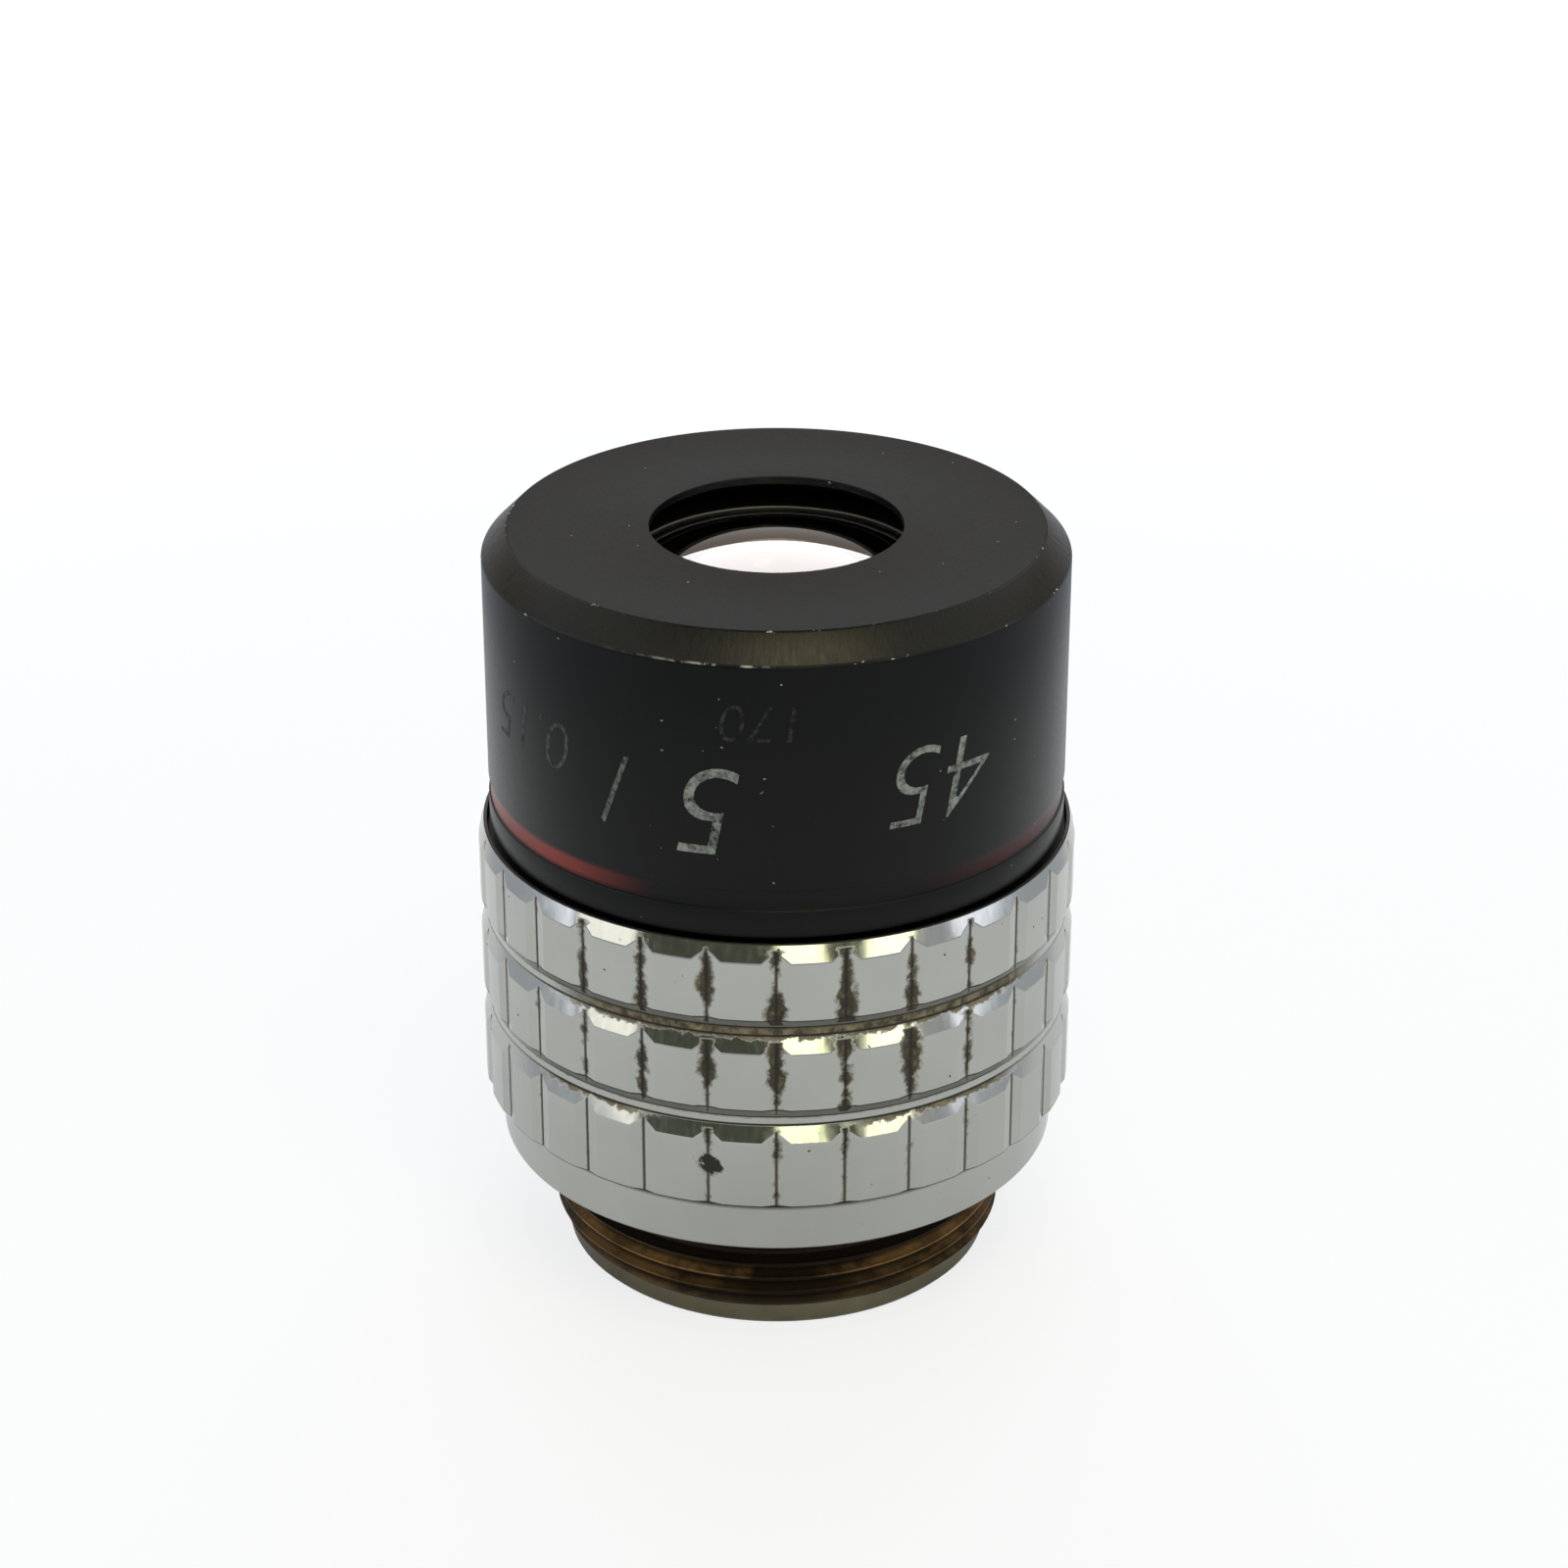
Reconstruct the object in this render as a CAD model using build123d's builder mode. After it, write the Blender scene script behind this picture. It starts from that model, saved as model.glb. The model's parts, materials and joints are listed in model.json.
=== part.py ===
from build123d import *
import math
import os

os.makedirs("parts", exist_ok=True)

# A low-power microscope objective that stands on its rear rim, with its front lens up.
# The origin is the centre of the rear rim and +Z is the optical axis. Sizes are in millimetres.

# Mount end of the body; every other radius is stepped from the thread's
thread_radius = 10.135  # over the crests of the standard objective thread
pilot_step = 0.565  # plain rim below the thread, in from its crests
pilot_length = 1.0
relief_step = 0.735  # undercut where the thread stops
relief_length = 0.7
shoulder_height = 5.6  # rear rim to the seating shoulder
seat_step = 0.365  # the shoulder is cut back this far out, clear of the thread
seat_undercut = 0.15
edge_break = 0.2  # small bevel on turned edges

# Collar and knurled grip
collar_step = 2.295  # the collar stands out from the thread
collar_length = 2.68
grip_step = 0.74  # the grip stands out from the collar
row_count = 3
row_pitch = 4.31  # from one row of pads to the next
row_gap = 1.62  # between the faces of two rows
bottom_row_face = 3.13  # the lowest row is the tallest
gap_depth = 0.25
upper_bevel = 0.8  # height of the long bevel on top of each row
lower_bevel = 0.42  # height of the short bevel under each row
pad_count = 28
flute_depth = 0.145  # shallow vee between two pads
flute_half_width = 0.69
body_rim_width = 0.17  # flat ring at the top of the body

# Inside of the body
rear_wall = 1.935  # from the rear bore out to the thread's crests
seat_rise = 1.7  # from the shoulder up to the ledge that carries the lens barrel
thread_clearance = 0.05  # between a ring and the bore that it screws into

# Front sleeve
sleeve_step = 0.53  # the sleeve is set in from the grip
sleeve_length = 13.36
sleeve_gap = 0.14  # dark line between the body and the sleeve
sleeve_bevel = 1.1
spigot_step = 0.74  # the spigot is set in from the sleeve
spigot_wall = 1.0
spigot_length = 4.4
recess_clearance = 0.12  # round the sleeve where it enters the body
recess_depth = 0.5
opening_cover = 1.55  # the opening is this much smaller in radius than the front lens
opening_land = 0.35  # height of the opening's straight wall
nose_thickness = 1.2
front_recess = 1.78  # from the front face down to the lip round the front lens
band_height = 1.72  # centre of the colour band above the sleeve's lower edge
band_width = 0.9
band_depth = 0.08

# Lens barrel and the rings that clamp it
shim_thickness = 0.4
shim_margin = 0.25  # from the rear bore out to the shim
flange_thickness = 3.0
barrel_gap = 0.9  # between the barrel and the sleeve's bore
barrel_wall = 1.1
barrel_lip_width = 1.7
barrel_lip_thickness = 0.9
barrel_ring_height = 2.0
stack_ring_height = 1.3
slide_clearance = 0.05  # between a cell or spacer and the barrel's bore
lens_clearance = 0.03  # between a lens and its bore
seat_clearance = 0.02  # between a lens and the edge that holds it
cement = 0.01  # between the two lenses of a doublet
slot_width = 1.2  # spanner slots in the threaded rings
slot_depth = 0.4
ring_recess = 0.2  # from the end of a cell down to its ring
ring_shoulder = 0.55  # how far a ring reaches past its lens

# The four groups of lenses. Each lens has its wall to the outside of its cell, and the
# radius of each of its faces is a multiple of the lens's own radius.
# Rear doublet: crown in front, flint behind
rear_cell_wall = 2.55
rear_land = 0.6  # how far the lip and the ring reach over the lens
rear_front_ratio = 2.3
rear_cement_ratio = 1.53
rear_back_ratio = 5.4
rear_crown_edge = 0.82  # thickness at the rim
rear_flint_thickness = 1.3
rear_lip_thickness = 0.8
rear_ring_thickness = 0.9

# Middle singlet, hollow on both sides
middle_cell_wall = 3.65
middle_land = 0.7
middle_front_ratio = 2.88
middle_back_ratio = 3.46
middle_thickness = 1.2
middle_lip_thickness = 0.7
middle_ring_thickness = 0.8

# Stop and spacers; the spacers take up what the cells leave free in the barrel
stop_step = 0.6  # the stop is this much smaller in radius than the middle lens
stop_thickness = 0.3
spacer_wall = 1.0
rear_spacer_share = 0.66

# Second group, a doublet: crown in front, flint behind
doublet_cell_wall = 2.65
doublet_land = 0.6
doublet_front_ratio = 2.66
doublet_cement_ratio = 2.18
doublet_back_ratio = 7.37
doublet_crown_edge = 0.88
doublet_flint_thickness = 1.4
doublet_lip_thickness = 0.8
doublet_ring_thickness = 0.9

# Front singlet, a meniscus that bulges towards the specimen
front_wall = 1.85
front_lip_width = 0.63
front_lip_thickness = 0.25
front_front_ratio = 2.286
front_back_ratio = 3.143
front_thickness = 2.322
front_ring_thickness = 0.6
front_ring_land = 0.7
front_cell_wall = 0.6
front_step_height = 1.2  # flange of the front cell, which the stack ring presses on


def sag(curve, radius):
    """Depth of a spherical surface of this curve at this distance from the axis."""
    return curve - math.sqrt(curve**2 - radius**2)


def bow(start_z, curve, radius, rise):
    """Arc of a lens surface from the axis to the rim; rise is 1 where the rim is higher."""
    middle = radius / 2
    return ThreePointArc(
        (0, start_z),
        (middle, start_z + rise * sag(curve, middle)),
        (radius, start_z + rise * sag(curve, radius)),
    )


# Radii, from the thread out to the grip and in to the lenses
pilot_radius = thread_radius - pilot_step
relief_radius = thread_radius - relief_step
seat_inner_radius = thread_radius + seat_step
rear_bore_radius = thread_radius - rear_wall
collar_radius = thread_radius + collar_step
grip_radius = collar_radius + grip_step
gap_radius = grip_radius - gap_depth
sleeve_radius = grip_radius - sleeve_step
recess_radius = sleeve_radius + recess_clearance
spigot_radius = sleeve_radius - spigot_step
socket_radius = spigot_radius + thread_clearance
bore_radius = spigot_radius - spigot_wall  # of the body and of the sleeve alike
ring_radius = bore_radius - thread_clearance
barrel_radius = bore_radius - barrel_gap
barrel_bore_radius = barrel_radius - barrel_wall
barrel_lip_radius = barrel_bore_radius - barrel_lip_width
cell_radius = barrel_bore_radius - slide_clearance

rear_radius = cell_radius - rear_cell_wall
rear_land_radius = rear_radius - rear_land
rear_front_curve = rear_radius * rear_front_ratio
rear_cement_curve = rear_radius * rear_cement_ratio
rear_back_curve = rear_radius * rear_back_ratio

middle_radius = cell_radius - middle_cell_wall
middle_land_radius = middle_radius - middle_land
middle_front_curve = middle_radius * middle_front_ratio
middle_back_curve = middle_radius * middle_back_ratio
stop_radius = middle_radius - stop_step

doublet_radius = cell_radius - doublet_cell_wall
doublet_land_radius = doublet_radius - doublet_land
doublet_front_curve = doublet_radius * doublet_front_ratio
doublet_cement_curve = doublet_radius * doublet_cement_ratio
doublet_back_curve = doublet_radius * doublet_back_ratio

front_radius = cell_radius - front_wall
front_lip_radius = front_radius - front_lip_width
front_ring_land_radius = front_radius - front_ring_land
front_front_curve = front_radius * front_front_ratio
front_back_curve = front_radius * front_back_ratio
opening_radius = front_radius - opening_cover

# Heights of the outside, from the rear rim up
thread_top = shoulder_height - relief_length
grip_bottom = shoulder_height + collar_length
row_bottoms = [grip_bottom]
row_tops = [grip_bottom + bottom_row_face]
for row in range(1, row_count):
    row_bottoms.append(row_tops[-1] + row_gap)
    row_tops.append(row_tops[-1] + row_pitch)
body_top = row_tops[-1] + upper_bevel
sleeve_bottom = body_top + sleeve_gap
spigot_bottom = sleeve_bottom - spigot_length
front_face = sleeve_bottom + sleeve_length
nose_underside = front_face - nose_thickness

# Heights of the rear group, from its seat up
seat_height = shoulder_height + seat_rise
flange_bottom = seat_height + shim_thickness
flange_top = flange_bottom + flange_thickness
rear_cell_bottom = flange_bottom + barrel_lip_thickness
rear_lip_top = rear_cell_bottom + rear_lip_thickness
rear_back_z = rear_lip_top - sag(rear_back_curve, rear_land_radius) + seat_clearance
rear_joint_z = rear_back_z + rear_flint_thickness
rear_crown_rim_z = rear_joint_z + cement + sag(rear_cement_curve, rear_radius) + rear_crown_edge
rear_front_z = rear_crown_rim_z + sag(rear_front_curve, rear_radius)
rear_ring_bottom = rear_front_z - sag(rear_front_curve, rear_land_radius) + seat_clearance
rear_ring_top = rear_ring_bottom + rear_ring_thickness
rear_cell_top = rear_ring_top + ring_recess

# Heights of the front lens and of the doublet behind it, from the front face down
front_lip_top = front_face - front_recess
front_lip_bottom = front_lip_top - front_lip_thickness
front_front_z = front_lip_bottom + sag(front_front_curve, front_lip_radius) - seat_clearance
front_back_z = front_front_z - front_thickness
front_ring_top = front_back_z - sag(front_back_curve, front_radius) - seat_clearance
front_ring_bottom = front_ring_top - front_ring_thickness
doublet_cell_top = front_ring_bottom - ring_recess
front_step_top = doublet_cell_top + front_step_height
stack_ring_top = front_step_top + stack_ring_height
doublet_ring_top = doublet_cell_top - ring_recess
doublet_ring_bottom = doublet_ring_top - doublet_ring_thickness
doublet_front_z = doublet_ring_bottom + sag(doublet_front_curve, doublet_land_radius) - seat_clearance
doublet_crown_rim_z = doublet_front_z - sag(doublet_front_curve, doublet_radius) - doublet_crown_edge
doublet_joint_z = doublet_crown_rim_z - sag(doublet_cement_curve, doublet_radius) - cement
doublet_back_z = doublet_joint_z - doublet_flint_thickness
doublet_lip_top = doublet_back_z + sag(doublet_back_curve, doublet_land_radius) - seat_clearance
doublet_cell_bottom = doublet_lip_top - doublet_lip_thickness

# The middle lens, the stop and the two spacers fill the space between those groups
middle_back_rise = middle_lip_thickness + seat_clearance + sag(middle_back_curve, middle_radius)
middle_ring_rise = (
    middle_back_rise + middle_thickness + sag(middle_front_curve, middle_radius) + seat_clearance
)
middle_cell_height = middle_ring_rise + middle_ring_thickness + ring_recess
spacer_room = doublet_cell_bottom - rear_cell_top - middle_cell_height - stop_thickness
rear_spacer_length = spacer_room * rear_spacer_share
front_spacer_length = spacer_room - rear_spacer_length
middle_cell_bottom = rear_cell_top + rear_spacer_length
middle_lip_top = middle_cell_bottom + middle_lip_thickness
middle_back_z = middle_cell_bottom + middle_back_rise
middle_front_z = middle_back_z + middle_thickness
middle_ring_bottom = middle_cell_bottom + middle_ring_rise
middle_cell_top = middle_cell_bottom + middle_cell_height
stop_top = middle_cell_top + stop_thickness

# Body: one turning, then the flutes that part each row into pads
with BuildPart() as grip_body:
    with BuildSketch(Plane.XZ):
        with BuildLine():
            outline = [
                (rear_bore_radius + edge_break, 0),
                (pilot_radius - edge_break, 0),
                (pilot_radius, edge_break),
                (pilot_radius, pilot_length),
                (thread_radius, pilot_length + thread_radius - pilot_radius),
                (thread_radius, thread_top),
                (relief_radius, thread_top),
                (relief_radius, shoulder_height + seat_undercut),
                (seat_inner_radius, shoulder_height + seat_undercut),
                (seat_inner_radius, shoulder_height),
                (collar_radius - edge_break, shoulder_height),
                (collar_radius, shoulder_height + edge_break),
                (collar_radius, grip_bottom),
                (grip_radius, grip_bottom),
            ]
            for row_top, next_bottom in zip(row_tops[:-1], row_bottoms[1:]):
                outline += [
                    (grip_radius, row_top),
                    (gap_radius, row_top + upper_bevel),
                    (gap_radius, next_bottom - lower_bevel),
                    (grip_radius, next_bottom),
                ]
            outline += [
                (grip_radius, row_tops[-1]),
                (recess_radius + body_rim_width, body_top),
                (recess_radius, body_top),
                (recess_radius, body_top - recess_depth),
                (socket_radius, body_top - recess_depth),
                (socket_radius, spigot_bottom),
                (bore_radius, spigot_bottom),
                (bore_radius, seat_height),
                (rear_bore_radius, seat_height),
                (rear_bore_radius, edge_break),
            ]
            Polyline(*outline, close=True)
        make_face()
    revolve(axis=Axis.Z)
    with BuildSketch(Plane.XY.offset(grip_bottom)):
        with PolarLocations(grip_radius, pad_count):
            Polygon(
                (-flute_depth, 0),
                (flute_depth, 2 * flute_half_width),
                (flute_depth, -2 * flute_half_width),
                align=None,
            )
    extrude(amount=body_top - grip_bottom, mode=Mode.SUBTRACT)
grip_body.part.label = "grip_body"
export_step(grip_body.part, "parts/grip_body.step")

# Sleeve: spigot that screws into the body, plain tube with the band's groove, bevelled nose
band_bottom = sleeve_bottom + band_height - band_width / 2
with BuildPart() as front_sleeve:
    with BuildSketch(Plane.XZ):
        with BuildLine():
            Polyline(
                (bore_radius, spigot_bottom),
                (spigot_radius, spigot_bottom),
                (spigot_radius, sleeve_bottom),
                (sleeve_radius, sleeve_bottom),
                (sleeve_radius, band_bottom),
                (sleeve_radius - band_depth, band_bottom),
                (sleeve_radius - band_depth, band_bottom + band_width),
                (sleeve_radius, band_bottom + band_width),
                (sleeve_radius, front_face - sleeve_bevel),
                (sleeve_radius - sleeve_bevel, front_face),
                (opening_radius, front_face),
                (opening_radius, front_face - opening_land),
                (front_radius, nose_underside),
                (bore_radius, nose_underside),
                close=True,
            )
        make_face()
    revolve(axis=Axis.Z)
front_sleeve.part.label = "front_sleeve"
export_step(front_sleeve.part, "parts/front_sleeve.step")

# Shim under the barrel's flange
with BuildPart() as parfocal_shim:
    with BuildSketch(Plane.XY.offset(seat_height)):
        Circle(ring_radius)
        Circle(rear_bore_radius + shim_margin, mode=Mode.SUBTRACT)
    extrude(amount=shim_thickness)
parfocal_shim.part.label = "parfocal_shim"
export_step(parfocal_shim.part, "parts/parfocal_shim.step")

# Barrel: flange at the foot, inner lip that carries the stack
with BuildPart() as lens_barrel:
    with BuildSketch(Plane.XZ):
        with BuildLine():
            Polyline(
                (barrel_lip_radius, flange_bottom),
                (ring_radius, flange_bottom),
                (ring_radius, flange_top),
                (barrel_radius, flange_top),
                (barrel_radius, stack_ring_top),
                (barrel_bore_radius, stack_ring_top),
                (barrel_bore_radius, rear_cell_bottom),
                (barrel_lip_radius, rear_cell_bottom),
                close=True,
            )
        make_face()
    revolve(axis=Axis.Z)
lens_barrel.part.label = "lens_barrel"
export_step(lens_barrel.part, "parts/lens_barrel.step")


def slotted_ring(outer, inner, bottom, height, slot_bottom):
    """Threaded ring with two spanner slots across one face."""
    with BuildPart() as ring:
        with BuildSketch(Plane.XY.offset(bottom)):
            Circle(outer)
            Circle(inner, mode=Mode.SUBTRACT)
        extrude(amount=height)
        with BuildSketch(Plane.XY.offset(slot_bottom)):
            Rectangle(2 * outer, slot_width)
        extrude(amount=slot_depth, mode=Mode.SUBTRACT)
    return ring.part


def cemented_pair(radius, back_z, joint_z, front_z, back_curve, joint_curve, front_curve):
    """Crown and flint of a doublet, with a thin film of cement between them."""
    with BuildPart() as flint:
        with BuildSketch(Plane.XZ):
            with BuildLine():
                bow(back_z, back_curve, radius, 1)
                bow(joint_z, joint_curve, radius, 1)
                Line((0, back_z), (0, joint_z))
                Line(
                    (radius, back_z + sag(back_curve, radius)),
                    (radius, joint_z + sag(joint_curve, radius)),
                )
            make_face()
        revolve(axis=Axis.Z)
    crown_back_z = joint_z + cement
    with BuildPart() as crown:
        with BuildSketch(Plane.XZ):
            with BuildLine():
                bow(crown_back_z, joint_curve, radius, 1)
                bow(front_z, front_curve, radius, -1)
                Line((0, crown_back_z), (0, front_z))
                Line(
                    (radius, crown_back_z + sag(joint_curve, radius)),
                    (radius, front_z - sag(front_curve, radius)),
                )
            make_face()
        revolve(axis=Axis.Z)
    return crown.part, flint.part


def lens_cell(bottom, lip_top, land_radius, lens_radius, ring_bottom, top):
    """Cell that slides in the barrel: lip below, bore for the lens, wider bore for its ring."""
    lens_bore = lens_radius + lens_clearance
    ring_bore = lens_radius + ring_shoulder
    with BuildPart() as cell:
        with BuildSketch(Plane.XZ):
            with BuildLine():
                Polyline(
                    (land_radius, bottom),
                    (cell_radius, bottom),
                    (cell_radius, top),
                    (ring_bore, top),
                    (ring_bore, ring_bottom),
                    (lens_bore, ring_bottom),
                    (lens_bore, lip_top),
                    (land_radius, lip_top),
                    close=True,
                )
            make_face()
        revolve(axis=Axis.Z)
    return cell.part


def spacer_tube(bottom, length, wall):
    """Plain ring that keeps two cells apart in the barrel."""
    with BuildPart() as tube:
        with BuildSketch(Plane.XY.offset(bottom)):
            Circle(cell_radius)
            Circle(cell_radius - wall, mode=Mode.SUBTRACT)
        extrude(amount=length)
    return tube.part


# Middle lens, hollow on both sides
with BuildPart() as middle_lens:
    with BuildSketch(Plane.XZ):
        with BuildLine():
            bow(middle_back_z, middle_back_curve, middle_radius, -1)
            bow(middle_front_z, middle_front_curve, middle_radius, 1)
            Line((0, middle_back_z), (0, middle_front_z))
            Line(
                (middle_radius, middle_back_z - sag(middle_back_curve, middle_radius)),
                (middle_radius, middle_front_z + sag(middle_front_curve, middle_radius)),
            )
        make_face()
    revolve(axis=Axis.Z)

# Front lens, which bulges through its cell's lip
with BuildPart() as front_lens:
    with BuildSketch(Plane.XZ):
        with BuildLine():
            bow(front_back_z, front_back_curve, front_radius, -1)
            bow(front_front_z, front_front_curve, front_radius, -1)
            Line((0, front_back_z), (0, front_front_z))
            Line(
                (front_radius, front_back_z - sag(front_back_curve, front_radius)),
                (front_radius, front_front_z - sag(front_front_curve, front_radius)),
            )
        make_face()
    revolve(axis=Axis.Z)

# Front cell: flange in the barrel, thin nose and the lip that shows in the front opening
front_bore = front_radius + lens_clearance
front_nose_radius = front_bore + front_cell_wall
front_ring_bore = front_radius + ring_shoulder
with BuildPart() as front_cell:
    with BuildSketch(Plane.XZ):
        with BuildLine():
            Polyline(
                (front_ring_bore, doublet_cell_top),
                (cell_radius, doublet_cell_top),
                (cell_radius, front_step_top),
                (front_nose_radius, front_step_top),
                (front_nose_radius, front_lip_top),
                (front_lip_radius, front_lip_top),
                (front_lip_radius, front_lip_bottom),
                (front_bore, front_lip_bottom),
                (front_bore, front_ring_top),
                (front_ring_bore, front_ring_top),
                close=True,
            )
        make_face()
    revolve(axis=Axis.Z)

rear_crown, rear_flint = cemented_pair(
    rear_radius, rear_back_z, rear_joint_z, rear_front_z,
    rear_back_curve, rear_cement_curve, rear_front_curve,
)
doublet_crown, doublet_flint = cemented_pair(
    doublet_radius, doublet_back_z, doublet_joint_z, doublet_front_z,
    doublet_back_curve, doublet_cement_curve, doublet_front_curve,
)
rear_cell = lens_cell(
    rear_cell_bottom, rear_lip_top, rear_land_radius, rear_radius, rear_ring_bottom, rear_cell_top,
)
middle_cell = lens_cell(
    middle_cell_bottom, middle_lip_top, middle_land_radius,
    middle_radius, middle_ring_bottom, middle_cell_top,
)
doublet_cell = lens_cell(
    doublet_cell_bottom, doublet_lip_top, doublet_land_radius,
    doublet_radius, doublet_ring_bottom, doublet_cell_top,
)


def lens_ring(lens_radius, land_radius, bottom, thickness):
    """Ring that screws into a cell from the front, with its slots in front."""
    outer = lens_radius + ring_shoulder - thread_clearance
    return slotted_ring(outer, land_radius, bottom, thickness, bottom + thickness - slot_depth)


rear_ring = lens_ring(rear_radius, rear_land_radius, rear_ring_bottom, rear_ring_thickness)
middle_ring = lens_ring(middle_radius, middle_land_radius, middle_ring_bottom, middle_ring_thickness)
doublet_ring = lens_ring(doublet_radius, doublet_land_radius, doublet_ring_bottom, doublet_ring_thickness)

# The front lens goes in from behind, so the slots of its ring are behind too
front_lens_ring = slotted_ring(
    front_ring_bore - thread_clearance, front_ring_land_radius, front_ring_bottom,
    front_ring_thickness, front_ring_bottom,
)
barrel_lock_ring = slotted_ring(
    ring_radius, barrel_radius + thread_clearance, flange_top,
    barrel_ring_height, flange_top + barrel_ring_height - slot_depth,
)
stack_lock_ring = slotted_ring(
    cell_radius, front_nose_radius + thread_clearance, front_step_top,
    stack_ring_height, stack_ring_top - slot_depth,
)
rear_spacer = spacer_tube(rear_cell_top, rear_spacer_length, spacer_wall)
front_spacer = spacer_tube(stop_top, front_spacer_length, spacer_wall)
aperture_stop = spacer_tube(middle_cell_top, stop_thickness, cell_radius - stop_radius)

inner_parts = {
    "front_lens": front_lens.part,
    "front_cell": front_cell.part,
    "front_lens_ring": front_lens_ring,
    "stack_lock_ring": stack_lock_ring,
    "barrel_lock_ring": barrel_lock_ring,
    "doublet_cell": doublet_cell,
    "doublet_crown": doublet_crown,
    "doublet_flint": doublet_flint,
    "doublet_ring": doublet_ring,
    "front_spacer": front_spacer,
    "aperture_stop": aperture_stop,
    "middle_cell": middle_cell,
    "middle_lens": middle_lens.part,
    "middle_ring": middle_ring,
    "rear_spacer": rear_spacer,
    "rear_cell": rear_cell,
    "rear_crown": rear_crown,
    "rear_flint": rear_flint,
    "rear_ring": rear_ring,
}
for name, piece in inner_parts.items():
    piece.label = name
    export_step(piece, f"parts/{name}.step")
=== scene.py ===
import json
import math

import bmesh
import bpy
from mathutils import Matrix, Vector

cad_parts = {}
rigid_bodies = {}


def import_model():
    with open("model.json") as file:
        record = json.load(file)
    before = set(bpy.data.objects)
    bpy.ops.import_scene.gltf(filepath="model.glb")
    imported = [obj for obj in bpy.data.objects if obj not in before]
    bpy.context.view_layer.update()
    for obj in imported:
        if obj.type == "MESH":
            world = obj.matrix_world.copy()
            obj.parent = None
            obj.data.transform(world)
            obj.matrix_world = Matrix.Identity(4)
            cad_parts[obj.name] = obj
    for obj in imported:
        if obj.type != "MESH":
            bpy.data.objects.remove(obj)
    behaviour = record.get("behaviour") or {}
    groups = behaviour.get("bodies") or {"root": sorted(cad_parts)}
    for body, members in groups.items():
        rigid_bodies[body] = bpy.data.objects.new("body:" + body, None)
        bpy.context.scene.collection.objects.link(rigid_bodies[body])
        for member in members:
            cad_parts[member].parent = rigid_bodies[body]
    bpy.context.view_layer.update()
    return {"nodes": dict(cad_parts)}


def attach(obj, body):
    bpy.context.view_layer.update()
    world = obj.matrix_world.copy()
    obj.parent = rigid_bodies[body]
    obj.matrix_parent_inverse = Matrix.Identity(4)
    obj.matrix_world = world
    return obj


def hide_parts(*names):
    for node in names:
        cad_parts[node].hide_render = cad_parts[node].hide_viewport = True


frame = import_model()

mm = 0.001  # sizes of the object are written in millimetres, those of the studio in metres
weld = 0.5e-6  # m: corners closer than this are one
print("frame:", len(frame["nodes"]), "solids loaded")


def linear(hexColour):  # sRGB hex to the linear values that the shaders take
    parts = [int(hexColour[i:i + 2], 16) / 255 for i in (1, 3, 5)]
    return [p / 12.92 if p <= 0.04045 else ((p + 0.055) / 1.055) ** 2.4 for p in parts] + [1.0]


def addNode(tree, kind, inputs={}, out=0, **settings):  # gives the new node's output socket
    made = tree.nodes.new("ShaderNode" + kind)
    for name, value in settings.items():
        setattr(made, name, value)
    for socket, value in inputs.items():
        if isinstance(value, bpy.types.NodeSocket):
            tree.links.new(value, made.inputs[socket])
        else:
            made.inputs[socket].default_value = value
    return made.outputs[out]


def newLook(name):  # an empty material: its tree and its output's surface socket
    look = bpy.data.materials.new(name)
    look.use_nodes = True
    look.node_tree.nodes.clear()
    output = look.node_tree.nodes.new("ShaderNodeOutputMaterial")
    return look, look.node_tree, output.inputs["Surface"]


def turnedPlaces(tree):  # where a point is on a turned piece
    spot = addNode(tree, "TexCoord", out="Object")
    split = addNode(tree, "SeparateXYZ", {0: spot}).node
    flat = addNode(tree, "VectorMath", {0: spot, 1: (1000, 1000, 0)}, operation="MULTIPLY")
    out = addNode(tree, "VectorMath", {0: flat}, out="Value", operation="LENGTH")
    up = addNode(tree, "Math", {0: split.outputs[2], 1: 1000}, operation="MULTIPLY")
    towards = addNode(tree, "Math", {0: split.outputs[1], 1: -1}, operation="MULTIPLY")
    angle = addNode(tree, "Math", {0: split.outputs[0], 1: towards}, operation="ARCTAN2")
    turn = addNode(tree, "Math", {0: angle}, operation="DEGREES")
    return spot, out, up, turn  # out from the axis and up in mm; turn in degrees, 0 in front and 90 at the right


def edgeAway(tree, out, up, edge):  # distance in mm from a turned edge, given by its radius and height
    outward = addNode(tree, "Math", {0: out, 1: edge[0]}, operation="SUBTRACT")
    upward = addNode(tree, "Math", {0: up, 1: edge[1]}, operation="SUBTRACT")
    both = addNode(tree, "CombineXYZ", {0: outward, 1: upward})
    return addNode(tree, "VectorMath", {0: both}, out="Value", operation="LENGTH")


# Camera at the photograph's angle, for a square picture
shot = {"place": (0.000323, -0.15507, 0.09698), "tilt": 64.18, "lens": 89.75, "sensor": 36, "clipStart": 0.005}
lensView = bpy.data.cameras.new("shotCamera")
lensView.lens = shot["lens"]
lensView.sensor_width = shot["sensor"]
lensView.clip_start = shot["clipStart"]
shotCamera = bpy.data.objects.new("shotCamera", lensView)
shotCamera.location = shot["place"]
shotCamera.rotation_euler = (math.radians(shot["tilt"]), 0, 0)
bpy.context.scene.collection.objects.link(shotCamera)
bpy.context.scene.camera = shotCamera
bpy.context.scene.view_settings.view_transform = "Standard"

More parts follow.
